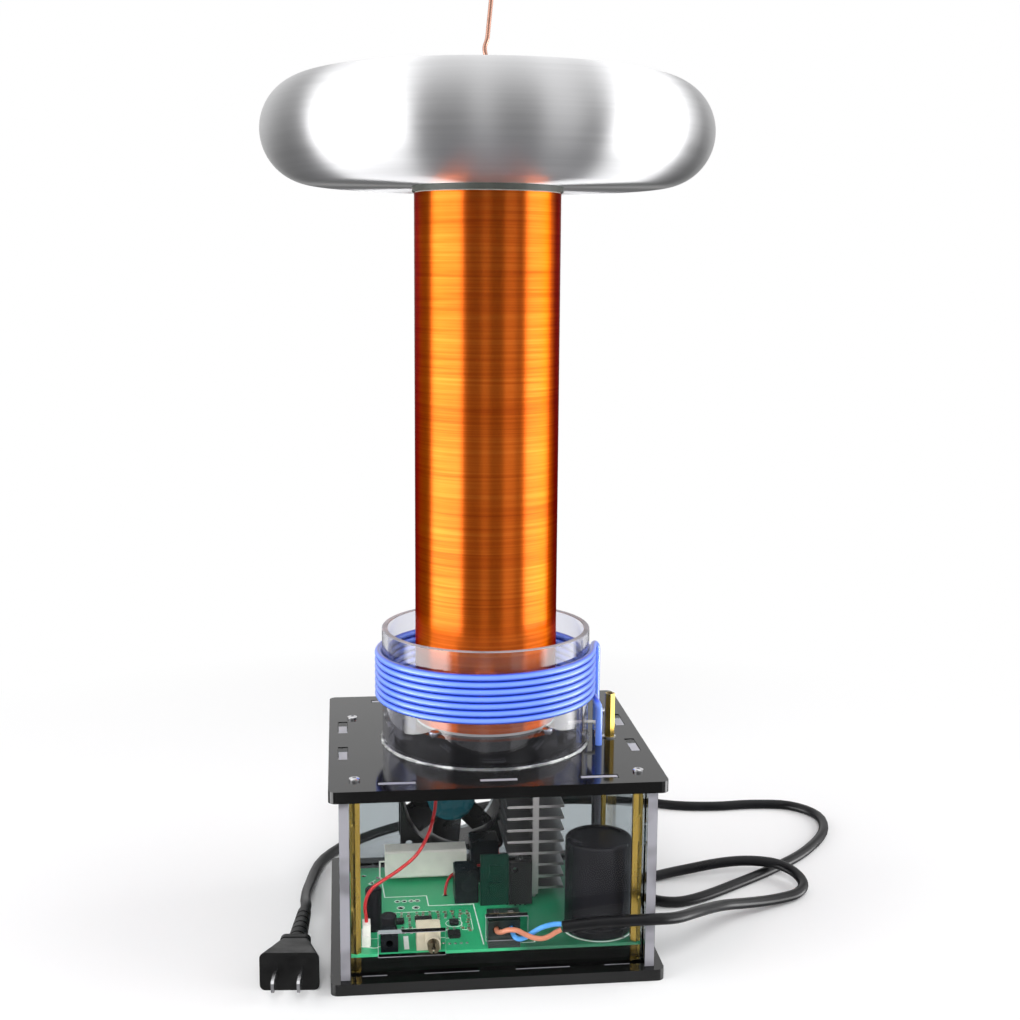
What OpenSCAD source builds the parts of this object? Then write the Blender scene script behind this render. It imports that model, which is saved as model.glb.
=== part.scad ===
// Desktop resonant transformer: a copper-wound tower on a clear box of electronics.
// Millimetres, +Z up, front towards -Y, origin at the centre of the underside.

/* [Case] */
// How far the two black plates stand out past the clear tube on the left and right
plate_side = 29; // [26:1:40]
// Depth of the two black plates
plate_d = 161; // [160:1:190]
// Thickness of the two black plates
plate_t = 6; // [4:0.5:8]
// Corner radius of the two black plates
plate_r = 4; // [2:0.5:6]
// How far the plates stand out past the faces of the side walls
plate_lip = 5; // [3:0.5:7]
// How far the plates stand out past the ends of the side walls
plate_lip_end = 4; // [3:0.5:7]
// Thickness of the clear panels
panel_t = 5; // [3:0.5:6]
// How far the front and back panels sit inside the ends of the side walls
panel_set = 4; // [3:0.5:7]
// Play round each tab in its slot
slot_fit = 0.15; // [0.1:0.05:0.3]

/* [Posts] */
// Width across the flats of a standoff
hex_af = 5; // [4.5:0.1:5.5]
// Length of the standoff under the board
foot_h = 8; // [8:1:10]
// Length of the first standoff above the board
lower_h = 30; // [28:1:35]
// Length of each of the two middle standoffs
middle_h = 20; // [18:1:25]
// Length of the top standoff
top_h = 15; // [14:1:20]
// Distance between the front and the back posts
post_span_y = 102; // [98:1:106]
// Diameter of the screw threads
thread_d = 3; // [2.5:0.1:3]

/* [Board] */
// Thickness of the circuit board
board_t = 1.6; // [1:0.1:2]
// Depth of the circuit board
board_d = 108; // [107:1:108]
// Diameter of the storage capacitor
cap_d = 35; // [30:1:36]
// Height of the storage capacitor
cap_h = 50; // [40:1:60]
// Length of the cement resistor
resistor_l = 46; // [40:1:48]
// Height of the cement resistor
resistor_h = 16; // [12:1:17]
// Length of the heat sink along the air flow
sink_l = 48; // [40:1:50]
// Width of the heat sink over its fins
sink_w = 30; // [26:1:31]
// Distance from one fin to the next
fin_pitch = 6.65; // [6:0.05:6.8]
// Thickness of a fin
fin_t = 1.5; // [1:0.1:2]

/* [Fan] */
// Width and height of the fan frame
fan_w = 60; // [56:1:60]
// Depth of the fan frame
fan_d = 25; // [20:1:25]
// Number of blades
blade_count = 7; // [5:1:9]
// Radial play between the blades and the frame
blade_gap = 0.8; // [0.6:0.1:1.5]

/* [Primary] */
// Outer diameter of the clear tube
tube_d = 112; // [100:1:134]
// Wall of the clear tube
tube_t = 3; // [2:0.5:4]
// Height of the clear tube
tube_h = 62; // [56:1:80]
// Diameter of the blue wire
turn_d = 3.3; // [3:0.1:3.3]
// Number of blue turns
turn_count = 7; // [5:1:9]
// Rise of one blue turn
turn_pitch = 3.75; // [3.75:0.05:4]

/* [Tower] */
// Air between the tower's tube and the clear tube
coil_gap = 15.5; // [13:0.5:20]
// Wall of the tower's tube
former_t = 2.5; // [2:0.5:3]
// Length of the tower's tube
former_h = 285; // [250:1:320]
// Thickness of the layer of fine copper turns
layer_t = 0.5; // [0.3:0.1:0.8]
// Outer diameter of the top load
load_d = 231; // [200:1:260]
// Height of the top load
load_h = 53; // [48:0.5:64]
// Thickness of the spun sheet
sheet_t = 1.2; // [1:0.1:2]
// Diameter of the breakout wire
breakout_d = 1.8; // [1.5:0.1:2]

/* [Mains lead] */
// Diameter of the mains lead
cord_d = 6; // [6:0.1:6]
// Width of the plug at its face
plug_w = 30; // [28:1:30]
// Height of the plug at its face
plug_h = 20; // [18:1:20]
// Distance between the plug's blades
blade_span = 12.7; // [12:0.1:13]

/* [Hidden] */
$fn = 48;

// One overrun serves every cut
cut = 1;
// Gap between pieces that lie side by side without being fastened
play = 0.3;
half_turn = 180;
full_turn = 360;

// Case: the walls stand between the plates, and tabs pass through slots
case_h = foot_h + board_t + lower_h + 2 * middle_h + top_h;
lid_z = plate_t + case_h;
deck_z = lid_z + plate_t;
plate_w = tube_d + 2 * plate_side;
former_d = tube_d - 2 * (tube_t + coil_gap);
wall_x = plate_w / 2 - plate_lip;
wall_y = plate_d / 2 - plate_lip_end;
inner_x = wall_x - panel_t;
panel_y = wall_y - panel_set;
inner_y = panel_y - panel_t;
side_tab_w = 20;
side_tab_y = 22;
front_tab_w = 19;
front_tab_x = 51;
joint_tab_h = 13;
joint_tab_z = 25;

// Posts
post_gap = 0.5;
hex_r = hex_af / sqrt(3);
post_x = inner_x - post_gap - hex_af / 2;
post_front_y = -inner_y + post_gap + hex_r;
post_back_y = post_front_y + post_span_y;
post_places = [for (x = [-post_x, post_x], y = [post_front_y, post_back_y]) [x, y]];
thread_fit = 0.1;
bore_r = thread_d / 2 + thread_fit;
bore_l = 6.5;
stud_l = 5.5;
head_r = 2.75;
head_h = 1.65;
socket_r = 1.1;
socket_l = 1;
foot_reach = 2;
screw_l = plate_t + bore_l - post_gap;
sunk_r = 2.9;
sunk_h = 1.7;

// Board
board_z = plate_t + foot_h;
deck_board_z = board_z + board_t;
board_gap = 0.5;
board_x = inner_x - board_gap;
board_front_y = -inner_y + board_gap;
board_hole_fit = 0.2;

// Storage capacitor: a sleeved can with a rounded shoulder and a scored vent
cap_wall_gap = 2.1;
cap_panel_gap = 3.8;
cap_x = inner_x - cap_wall_gap - cap_d / 2;
cap_y = -inner_y + cap_panel_gap + cap_d / 2;
cap_shoulder = 1.6;
cap_neck_z = 4;
cap_neck_r = 0.8;
cap_dish = 0.8;

// Cement resistor
resistor_d = 13;
resistor_lift = 2;
resistor_right_x = -8.5;
resistor_front_y = 19.5;
resistor_bevel = 1;
lead_d = 0.9;
lead_reach = 3;

// Heat sink: a web with fins on both sides, fins left off where the transistors sit
sink_x = 26.5;
sink_front_y = -13.5;
sink_web_t = 3.4;
sink_foot_z = 4.6;
left_fin_z = 27.3;
left_fin_count = 8;
right_fin_count = 11;
sink_pin_r = 1.3;
sink_pin_in = 8;
sink_head = 1.2;

// Transistors on the bare stretch of the web
transistor_w = 15.6;
transistor_h = 20;
transistor_t = 5;
transistor_lift = 5.5;
transistor_in = 3;
transistor_step = 20;
pin_w = 1.2;
pin_t = 0.6;
pin_pitch = 5.4;
hole_drop = 5.6;
chamfer = 0.8;
thread_reach = 2.6;

// Rectifier, relay, film capacitor, driver board and gate transformer
rectifier_w = 12.4;
rectifier_h = 24;
rectifier_t = 4;
rectifier_x = 11.6;
rectifier_gap = 1.5;
relay_w = 16;
relay_d = 15.5;
relay_h = 24.4;
relay_back = 1.5;
relay_gap = 2;
film_w = 13;
film_d = 15;
film_h = 18.6;
film_x = -17.6;
film_front_y = -12;
driver_w = 15.4;
driver_h = 29;
driver_t = 1.6;
driver_x = -4;
driver_front_y = -16;
driver_chip = 6;
driver_chip_t = 1.5;
transformer_w = 13;
transformer_d = 12;
transformer_h = 14;
transformer_x = -2.6;
transformer_y = -11;
yoke_t = 3;
bobbin_in = 1;
flange_t = 1;

// Small parts
chip_t = 1.6;
chip_sizes = [[7.5, 4], [9, 4], [5, 4], [6.5, 6]];
chip_places = [[-50, -32], [-36, -31], [-20, -36], [-21, -50]];
chip_lift = 0.2;
chip_foot = 1;
small_cap_r = 4.2;
small_cap_h = 13.2;
tall_cap_r = 4.3;
tall_cap_h = 23;
small_cap_x = 19.9;
small_cap_y = 17.2;
tall_cap_x = 12.5;
tall_cap_y = 29;

// Fan: carried by the back panel, its port cut in that panel
fan_x = -15;
fan_z = 54;
fan_y = inner_y - fan_d;
fan_r = fan_w / 2 - 2;
fan_corner = 4;
fan_flange = 4;
fan_hole_in = 5;
fan_hole_r = 2.15;
fan_shell = 1.6;
hub_r = 14;
hub_h = 17;
hub_wall = 1.5;
hub_edge = 2;
motor_t = 3;
motor_gap = 0.5;
bearing_r = 3.5;
bearing_l = 12;
shaft_r = 1.5;
shaft_fit = 0.05;
strut_w = 3;
strut_count = 4;
blade_t = 1.2;
blade_chord = 18;
blade_pitch = 38;
blade_swing = 8;
fan_screw_r = 1.9;
fan_screw_l = 9;
fan_head_r = 3.4;
fan_head_h = 2.2;

// Terminal block and its window
terminal_w = 16.6;
terminal_d = 11;
terminal_h = 17.4;
terminal_x = -4.8;
terminal_step = 3;
terminal_pitch = 7.6;
terminal_z = 9.6;
terminal_mouth = 4.4;
terminal_bore_r = 2;
terminal_depth = 6;
terminal_screw_r = 1.8;
terminal_screw_l = 6;
terminal_window_in = 1.7;
terminal_window_out = 3.2;
terminal_window_z = 6.4;
terminal_window_h = 12.7;

terminal_front_y = -inner_y + board_gap;
terminal_xs = [for (i = [-1, 1]) terminal_x + terminal_w / 2 + i * terminal_pitch / 2];

// Volume potentiometer
pot_w = 12.2;
pot_d = 10;
pot_h = 12.4;
pot_wall_gap = 33.7;
pot_x = -inner_x + pot_wall_gap + pot_w / 2;
pot_shift = 1.8;
pot_z = 7;
bush_r = 3.9;
bush_l = 8;
pot_r = 3;
pot_fit = 0.05;
pot_out = 12.5;
pot_gap = 1;
split_w = 1;
split_l = 7;
collar_r = 3.6;
collar_t = 1;

// Signal socket
jack_w = 8.8;
jack_d = 12;
jack_h = 9.2;
jack_wall_gap = 15.5;
jack_x = -inner_x + jack_wall_gap + jack_w / 2;
jack_z = 4.6;
jack_bore_r = 1.8;
jack_bore_l = 10.5;
control_window_in = 1.5;
control_window_out = 2.2;
control_window_h = 12.8;

// Plug-in lead on the board
connector_w = 4;
connector_d = 8;
connector_h = 11.4;
connector_x = 8.5;
connector_y = 9;
sense_d = 1.8;
fan_lead_d = 1.6;

// Primary: wire wound on the clear tube
tube_r = tube_d / 2;
bead_w = 2.2;
bead_h = 2;
bead_fit = 0.1;
turn_fit = 0.4;
turn_r = tube_r + turn_fit + turn_d / 2;
turn_z = 24;
turn_start = -6.5;
turn_sides = 6;
turn_rings = 24;
tail_out = 4.6;
tail_angle = 12.4;
tail_drop = 4.5;
tail_rings = 5;
lead_hole_fit = 0.5;
lead_drop = 2;

// Tower foot
former_r = former_d / 2;
collar_ring = 8;
disc_over = 4.5;
tower_collar_r = former_r + collar_ring;
disc_r = tower_collar_r + disc_over;
disc_t = 6;
tower_collar_t = 6;
former_fit = 0.3;
collar_screw_out = 4.2;
collar_screw_r = former_r + collar_screw_out;
collar_screw_angle = 45;
collar_screw_count = 4;
tower_z = deck_z + disc_t;
layer_foot = 7.4;
layer_head = 0.5;

// Tower head
tower_top = tower_z + former_h;
cap_flange_t = 3;
cap_flange_over = 1.5;
cap_plug_l = 10;
load_z = tower_top + cap_flange_t;
load_r = load_d / 2;
rim_r = load_h / 2;
load_mid_z = load_z + rim_r;
rod_r = 2;
rod_fit = 0.15;
rod_reach = 7;
rod_over = 5;
nut_r = 4;
nut_t = 3.2;
small_nut_r = 3.15;
small_nut_t = 2.4;
nut_fit = 0.1;
spacer_r = 5;

// Ground post on the deck
ground_x = (turn_r + turn_d / 2 + inner_x) / 2;
ground_y = -8;
ground_h = 24;
ground_bore_l = 10;
lug_r = 3.6;
lug_t = 0.8;
lug_tail = 7.8;
lug_tail_w = 3;
ground_wire_d = 2;
ground_hole_r = 1.6;
ground_wire_z = 9;
ground_seat = 2;
ground_stud_l = plate_t + lug_t + small_nut_t + play;
ground_from_x = sqrt(pow(tower_collar_r, 2) - pow(ground_y, 2)) - ground_seat;

// Plug lying on its broad side, face towards the front
plug_x = -105.5;
plug_y = -71.5;
plug_turn = 5;
plug_l = 25;
plug_r = 3;
neck_w = 15;
neck_h = 13;
relief_l = 40;
relief_y = plug_l + plug_r;
// A point on the plug's axis, y behind its face
function plug_axis(y) = [plug_x + y * sin(plug_turn), plug_y + y * cos(plug_turn), plug_h / 2];
relief_r = 5.2;
relief_end_r = 3.7;
relief_grooves = 5;
groove_w = 1.2;
groove_in = 0.9;
blade_l = 17;
blade_w = 6.3;
blade_thick = 1.5;
flat_side = 0.5;

// Route of the mains lead, from the sheath's end at the front to the plug
cord_route = [[31.5, -80, 31.5], [50, -80.8, 33.4], [76, -82.3, 34.4],
    [91, -76.5, 32], [104, -63, 28], [116, -47, 22.5], [129, -31, 16.5], [144, -18, 11],
    [160, -7, 6.8], [172, 0, 5], [181, 5.5, 4.4], [187.3, 12.5, 5], [189.2, 21, 6],
    [186.6, 30, 7.6], [179.6, 37, 9.2], [170, 40.4, 10], [158, 41.8, 10.2], [144, 42.4, 9],
    [127, 43, 6], [110, 41.2, 3.8], [97, 35.8, 3.1], [91.6, 22.8, 3.1], [97, 9.8, 3.1],
    [110, 4.4, 3.1], [126, 9.5, 3.1], [150, 24.5, 3.1], [180, 45.5, 3.1], [206, 68, 3.1],
    [228, 98, 3.1], [234, 126, 3.1], [221, 146, 3.1], [196, 151, 3.1],
    [170, 150, 3.1], [144, 154, 3.1], [112, 167, 3.1], [66, 174, 3.1], [18, 166, 3.1], [-30, 144, 3.1],
    [-66, 119, 3.1], [-90, 86, 3.1], [-98, 46, 3.8], [-99.4, 20, 7.2],
    plug_axis(relief_y + relief_l + 1.5 * cord_d), plug_axis(relief_y + relief_l)];
cord_sides = 8;
cord_steps = 2;
core_d = 2.6;
core_steps = 2;
live_route = [[31, -80, 30], [28, -80, 28.6], [25, -80.1, 26.8], [21, -80.3, 25.8], [16.5, -80.3, 26.6],
    [12.3, -79.8, 28.4], [8.5, -78.6, 30], [4.4, -76.6, 29.4], [1.2, -74, 27.2],
    terminal_xs_mouth(0, 2), terminal_xs_mouth(0, 1)];
neutral_route = [[31, -80, 33], [28, -79.6, 32.9], [25, -79, 32.2], [20.8, -78, 30.4], [16.8, -76.8, 27.5],
    [13.6, -76.2, 25], [10.4, -75.6, 23.8], [8, -74, 24.4],
    terminal_xs_mouth(1, 2), terminal_xs_mouth(1, 1)];

// Points on the axis of a wire mouth, one or two core diameters out of its floor
function terminal_xs_mouth(i, k) = [terminal_xs[i],
    terminal_front_y + terminal_depth - (k - 1) * 3 * core_d, deck_board_z + terminal_z];

// Routes of the short wires inside
sense_route = [[-66.5, -54, deck_board_z + connector_h], [-66.8, -54.2, 31], [-67.2, -54.4, 35],
    [-66.2, -54, 40.6], [-63, -53, 45], [-58, -51.6, 48], [-49, -48, 52.3], [-40, -44.5, 58.6],
    [-33.4, -38, 67.3], [-30, -31.6, 76.4], [-28.8, -27, 86], [-28.5, -24.8, 94],
    [-28.5, -24.5, 100], [-28.5, -24.5, deck_z]];
fan_route = [[-22.1, -0.3, deck_board_z], [-21.8, 0.4, 19.4], [-20, 3, 23.4], [-16.4, 5.6, 25.8],
    [-9, 8.4, 27.6], [0, 10, 28], [8, 10.8, 27.4], [12.6, 14.4, 26.4], [13.6, 21, 25.2],
    [13.8, 29, 23.4], [13.4, 36, 21.4], [12.4, 41.6, 20.2], [12, 44.3, 21.6],
    [12, 44.5, fan_z - fan_w / 2]];
breakout_route = [[0, 0, 0], [-0.4, -0.2, 3.4], [-1.4, -0.6, 7], [-1.9, -0.4, 11],
    [-0.6, -0.1, 15.4], [0.1, 0, 22], [0.9, 0.1, 30], [1.7, 0.1, 38], [2.6, 0, 46]];

// Outline helpers
module rounded(w, d, r) {
    square([w - 2 * r, d], center = true);
    square([w, d - 2 * r], center = true);
    for (x = [-1, 1], y = [-1, 1]) translate([x * (w / 2 - r), y * (d / 2 - r)]) circle(r);
}

module block(w, d, h, r) { linear_extrude(h) rounded(w, d, r); }

module hex_bar(h) { rotate(half_turn / 6) cylinder(r = hex_r, h = h, $fn = 6); }

// Unit vector along v
function along(v) = v / norm(v);

// Tangents at each point of a route
function tangents(p) = [for (i = [0 : len(p) - 1])
    along(p[min(i + 1, len(p) - 1)] - p[max(i - 1, 0)])];

// Normals carried along the route without twisting
function first_normal(t) = along(abs(t.z) < 0.9 ? cross(t, [0, 0, 1]) : cross(t, [0, 1, 0]));
function carried(t) = [for (i = 0, n = first_normal(t[0]); i < len(t);
    i = i + 1, n = i < len(t) ? along(n - (n * t[i]) * t[i]) : n) n];

// Smooth route through the given points, with even steps between them
function blend(a, b, c, d, u) = 0.5 * (2 * b + (c - a) * u + (2 * a - 5 * b + 4 * c - d) * u * u
    + (3 * b - a - 3 * c + d) * u * u * u);
function smooth(p, steps) = concat([for (i = [0 : len(p) - 2], s = [0 : steps - 1])
    blend(p[max(i - 1, 0)], p[i], p[i + 1], p[min(i + 2, len(p) - 1)], s / steps)],
    [p[len(p) - 1]]);

// Tube of d along a route, with flat ends
module tube(p, d, sides) {
    t = tangents(p);
    n = carried(t);
    points = [for (i = [0 : len(p) - 1], s = [0 : sides - 1])
        let (a = full_turn * s / sides) p[i] + d / 2 * (cos(a) * n[i] + sin(a) * cross(t[i], n[i]))];
    walls = [for (i = [0 : len(p) - 2], s = [0 : sides - 1], k = [0, 1])
        let (a = i * sides + s, b = i * sides + (s + 1) % sides, c = a + sides, e = b + sides)
        k == 0 ? [a, c, b] : [b, c, e]];
    near_end = [for (s = [1 : sides - 2]) [0, s, s + 1]];
    last = (len(p) - 1) * sides;
    far_end = [for (s = [1 : sides - 2]) [last, last + s + 1, last + s]];
    polyhedron(points, concat(walls, near_end, far_end), convexity = 8);
}

// Case
module plate_slots(z) {
    for (x = [-1, 1], y = [-1, 1])
        translate([x * (wall_x - panel_t / 2), y * side_tab_y, z + plate_t / 2])
            cube([panel_t + 2 * slot_fit, side_tab_w + 2 * slot_fit, plate_t + 2 * cut],
                center = true);
    for (x = [-1, 0, 1], y = [-1, 1])
        translate([x * front_tab_x, y * (panel_y - panel_t / 2), z + plate_t / 2])
            cube([front_tab_w + 2 * slot_fit, panel_t + 2 * slot_fit, plate_t + 2 * cut],
                center = true);
}

module post_holes(z) {
    for (p = post_places) translate([p.x, p.y, z - cut])
        cylinder(r = bore_r, h = plate_t + 2 * cut);
}

module base_plate() {
    color([0.03, 0.03, 0.03]) difference() {
        block(plate_w, plate_d, plate_t, plate_r);
        plate_slots(0);
        post_holes(0);
        for (p = post_places) translate([p.x, p.y, 0]) screw_sink();
    }
}

// Cone under a flat screw head
module screw_sink() {
    rotate_extrude() polygon([[0, -cut], [sunk_r + play, -cut], [sunk_r + play, play],
        [bore_r, sunk_h + play], [0, sunk_h + play]]);
}

function polar(r, a) = [r * cos(a), r * sin(a)];
tail_r = turn_r + tail_out;
start_angle = turn_start - tail_angle;
end_angle = turn_start + tail_angle;
lead_hole_r = turn_d / 2 + lead_hole_fit;
collar_screw_places = [for (i = [0 : collar_screw_count - 1])
    polar(collar_screw_r, collar_screw_angle + full_turn * i / collar_screw_count)];

module top_plate() {
    color([0.03, 0.03, 0.03]) difference() {
        translate([0, 0, lid_z]) block(plate_w, plate_d, plate_t, plate_r);
        plate_slots(lid_z);
        post_holes(lid_z);
        for (a = [start_angle, end_angle]) translate(concat(polar(tail_r, a), lid_z - cut))
            cylinder(r = lead_hole_r, h = plate_t + 2 * cut);
        translate([sense_route[len(sense_route) - 1].x, sense_route[len(sense_route) - 1].y,
            lid_z - cut]) cylinder(r = sense_d / 2 + play, h = plate_t + 2 * cut);
        translate([ground_x, ground_y, lid_z - cut]) cylinder(r = bore_r, h = plate_t + 2 * cut);
        for (p = collar_screw_places) translate([p.x, p.y, lid_z - cut])
            cylinder(r = bore_r, h = plate_t + 2 * cut);
    }
}

// Side wall standing in the plane of its outer face, tabs up and down
module side_wall() {
    difference() {
        union() {
            translate([-panel_t, -wall_y, plate_t]) cube([panel_t, 2 * wall_y, case_h]);
            for (y = [-side_tab_y, side_tab_y])
                translate([-panel_t, y - side_tab_w / 2, play])
                    cube([panel_t, side_tab_w, deck_z - 2 * play]);
        }
        for (y = [-1, 1], z = [joint_tab_z, case_h - joint_tab_z])
            translate([-panel_t / 2, y * (panel_y - panel_t / 2), plate_t + z])
                cube([panel_t + 2 * cut, panel_t + 2 * slot_fit, joint_tab_h + 2 * slot_fit],
                    center = true);
    }
}

module left_wall() {
    color([0.8, 0.86, 0.88, 0.3]) translate([-wall_x, 0, 0]) rotate(half_turn) side_wall();
}

module right_wall() { color([0.8, 0.86, 0.88, 0.3]) translate([wall_x, 0, 0]) side_wall(); }

// End panel between the side walls, its outer face at y = 0 and its body behind it
module end_panel() {
    translate([-inner_x, 0, plate_t]) cube([2 * inner_x, panel_t, case_h]);
    for (x = [-front_tab_x, 0, front_tab_x]) translate([x - front_tab_w / 2, 0, play])
        cube([front_tab_w, panel_t, deck_z - 2 * play]);
    for (z = [joint_tab_z, case_h - joint_tab_z])
        translate([-wall_x, 0, plate_t + z - joint_tab_h / 2])
            cube([2 * wall_x, panel_t, joint_tab_h]);
}

control_left = jack_x - jack_w / 2 - control_window_in;
control_right = pot_x + pot_w / 2 + control_window_out;
terminal_left = terminal_x - terminal_window_in;
terminal_right = terminal_x + terminal_w + terminal_window_out;

module front_panel() {
    color([0.8, 0.86, 0.88, 0.3]) translate([0, -panel_y, 0]) difference() {
        end_panel();
        translate([control_left, -cut, deck_board_z])
            cube([control_right - control_left, panel_t + 2 * cut, control_window_h]);
        translate([terminal_left, -cut, deck_board_z + terminal_window_z])
            cube([terminal_right - terminal_left, panel_t + 2 * cut, terminal_window_h]);
    }
}

fan_hole_s = fan_w / 2 - fan_hole_in;

module back_panel() {
    color([0.8, 0.86, 0.88, 0.3]) translate([0, inner_y, 0]) difference() {
        end_panel();
        translate([fan_x, -cut, fan_z]) rotate([-half_turn / 2, 0, 0])
            cylinder(r = fan_r, h = panel_t + 2 * cut);
        for (x = [-1, 1], z = [-1, 1])
            translate([fan_x + x * fan_hole_s, -cut, fan_z + z * fan_hole_s])
                rotate([-half_turn / 2, 0, 0]) cylinder(r = fan_hole_r, h = panel_t + 2 * cut);
    }
}

// Posts
module standoff(h) {
    difference() {
        hex_bar(h);
        translate([0, 0, h - bore_l]) cylinder(r = bore_r, h = bore_l + cut);
    }
    translate([0, 0, -stud_l]) cylinder(d = thread_d, h = stud_l);
}

module on_posts(z) { for (p = post_places) translate([p.x, p.y, z]) children(); }

module foot_standoffs() {
    color([0.75, 0.6, 0.25]) on_posts(plate_t) difference() {
        hex_bar(foot_h);
        translate([0, 0, -cut]) cylinder(r = bore_r, h = foot_h + 2 * cut);
    }
}

module lower_standoffs() { color([0.75, 0.6, 0.25]) on_posts(deck_board_z) standoff(lower_h); }

module middle_standoffs() {
    color([0.75, 0.6, 0.25]) for (i = [0, 1])
        on_posts(deck_board_z + lower_h + i * middle_h) standoff(middle_h);
}

module top_standoffs() { color([0.75, 0.6, 0.25]) on_posts(lid_z - top_h) standoff(top_h); }

// Round-headed screw with a hexagon socket, its head on z = 0
module round_screw(l) {
    difference() {
        rotate_extrude() polygon([[0, 0], [head_r, 0], [head_r, head_h / 3],
            for (a = [30 : 15 : 90]) [head_r * cos(a) / cos(30) * 0.98, head_h * (1 + 2 * sin(a)) / 3]]);
        translate([0, 0, head_h - socket_l]) cylinder(r = socket_r, h = socket_l + cut, $fn = 6);
    }
    translate([0, 0, -l]) cylinder(d = thread_d, h = l);
}

// Screws of the lid, of the tower's foot and of the transistors
module round_screws() {
    color("silver") {
        on_posts(deck_z) round_screw(screw_l);
        for (p = collar_screw_places) translate([p.x, p.y, tower_z + tower_collar_t])
            round_screw(tower_collar_t + disc_t + plate_t - play);
        for (y = transistor_ys)
            translate([transistor_face_x - transistor_t, y + transistor_w / 2, screw_z])
                rotate([0, -half_turn / 2, 0]) round_screw(transistor_t + thread_reach - play);
    }
}

module base_screws() {
    color("silver") on_posts(0) difference() {
        rotate_extrude() polygon([[0, play], [sunk_r, play], [thread_d / 2, play + sunk_h],
            [thread_d / 2, plate_t + foot_reach], [0, plate_t + foot_reach]]);
        cylinder(r = socket_r, h = socket_l + play, $fn = 6);
    }
}

module circuit_board() {
    color([0.1, 0.5, 0.33]) difference() {
        translate([-board_x, board_front_y, board_z]) cube([2 * board_x, board_d, board_t]);
        for (p = post_places) translate([p.x, p.y, board_z - cut])
            cylinder(r = thread_d / 2 + board_hole_fit, h = board_t + 2 * cut);
    }
}

// Parts that stand on the board
module storage_capacitor() {
    r = cap_d / 2;
    color([0.05, 0.05, 0.06]) translate([cap_x, cap_y, deck_board_z]) rotate_extrude() difference() {
        union() {
            square([r - cap_shoulder, cap_h]);
            square([r, cap_h - cap_shoulder]);
            translate([r - cap_shoulder, cap_h - cap_shoulder]) circle(cap_shoulder);
        }
        translate([r + cap_neck_r / 3, cap_neck_z]) circle(cap_neck_r);
        translate([0, cap_h - cap_dish]) square([r - 2 * cap_shoulder, cap_dish + cut]);
    }
}

resistor_left_x = resistor_right_x - resistor_l;
resistor_y = resistor_front_y + resistor_d / 2;
resistor_z = deck_board_z + resistor_lift;

module cement_resistor() {
    color([0.93, 0.91, 0.84]) translate([resistor_left_x, resistor_y, resistor_z + resistor_h / 2])
        rotate([half_turn / 2, 0, half_turn / 2]) linear_extrude(resistor_l) difference() {
            square([resistor_d, resistor_h], center = true);
            for (x = [-1, 1], y = [-1, 1])
                translate([x * resistor_d / 2, y * resistor_h / 2]) rotate(half_turn / 4)
                    square(resistor_bevel * sqrt(2), center = true);
        }
}

// One bent lead: out of the end, then down to the board
module resistor_lead() {
    z = resistor_z + resistor_h / 2;
    translate([0, 0, z]) rotate([0, half_turn / 2, 0]) cylinder(d = lead_d, h = lead_reach);
    translate([lead_reach, 0, z]) sphere(d = lead_d);
    translate([lead_reach, 0, deck_board_z]) cylinder(d = lead_d, h = z - deck_board_z);
}

module resistor_leads() {
    color("silver") {
        translate([resistor_left_x, resistor_y, 0]) rotate(half_turn) resistor_lead();
        translate([resistor_right_x - resistor_l / 2, resistor_y, deck_board_z])
            cylinder(d = lead_d, h = resistor_lift);
    }
}

sink_z = deck_board_z + sink_foot_z;
sink_h = (right_fin_count - 1) * fin_pitch + fin_t + left_fin_z - 3 * fin_pitch - sink_foot_z;
left_fins = [for (i = [0 : left_fin_count - 1]) left_fin_z + i * fin_pitch];
right_fins = [for (i = [0 : right_fin_count - 1]) left_fin_z + (i - 3) * fin_pitch];

// The extrusion's cross-section, seen from the front
module sink_section() {
    translate([-sink_web_t / 2, sink_foot_z]) square([sink_web_t, sink_h]);
    for (z = left_fins) translate([-sink_w / 2, z]) {
        square([sink_w / 2, fin_t]);
        translate([0, fin_t / 2]) circle(d = fin_t);
    }
    for (z = right_fins) translate([0, z]) {
        square([sink_w / 2, fin_t]);
        translate([sink_w / 2, fin_t / 2]) circle(d = fin_t);
    }
}

transistor_z = deck_board_z + transistor_lift;
transistor_face_x = sink_x - sink_web_t / 2;
transistor_ys = [for (i = [0, 1]) sink_front_y + transistor_in + i * transistor_step];
screw_z = transistor_z + transistor_h - hole_drop;

module heat_sink() {
    color([0.72, 0.73, 0.74]) difference() {
        union() {
            translate([sink_x, sink_front_y + sink_l, deck_board_z]) rotate([half_turn / 2, 0, 0])
                linear_extrude(sink_l) sink_section();
            for (y = [sink_front_y + sink_pin_in, sink_front_y + sink_l - sink_pin_in])
                translate([sink_x, y, deck_board_z]) cylinder(r = sink_pin_r, h = sink_foot_z + cut);
        }
        for (y = transistor_ys) translate([transistor_face_x - cut, y + transistor_w / 2, screw_z])
            rotate([0, half_turn / 2, 0]) cylinder(r = bore_r, h = thread_reach + cut);
    }
}

module transistor() {
    difference() {
        union() {
            translate([-transistor_t, 0, 0]) cube([transistor_t - chamfer, transistor_w, transistor_h]);
            translate([-chamfer, chamfer, chamfer])
                cube([chamfer, transistor_w - 2 * chamfer, transistor_h - chamfer]);
        }
        translate([-transistor_t - cut, transistor_w / 2, transistor_h - hole_drop])
            rotate([0, half_turn / 2, 0]) cylinder(r = bore_r, h = transistor_t + 2 * cut);
    }
    for (i = [-1, 0, 1])
        translate([-transistor_t / 2, transistor_w / 2 + i * pin_pitch - pin_w / 2, -transistor_lift])
            cube([pin_t, pin_w, transistor_lift + pin_t]);
}

module power_transistors() {
    color([0.06, 0.06, 0.06]) for (y = transistor_ys)
        translate([transistor_face_x, y, transistor_z]) transistor();
}

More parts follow.
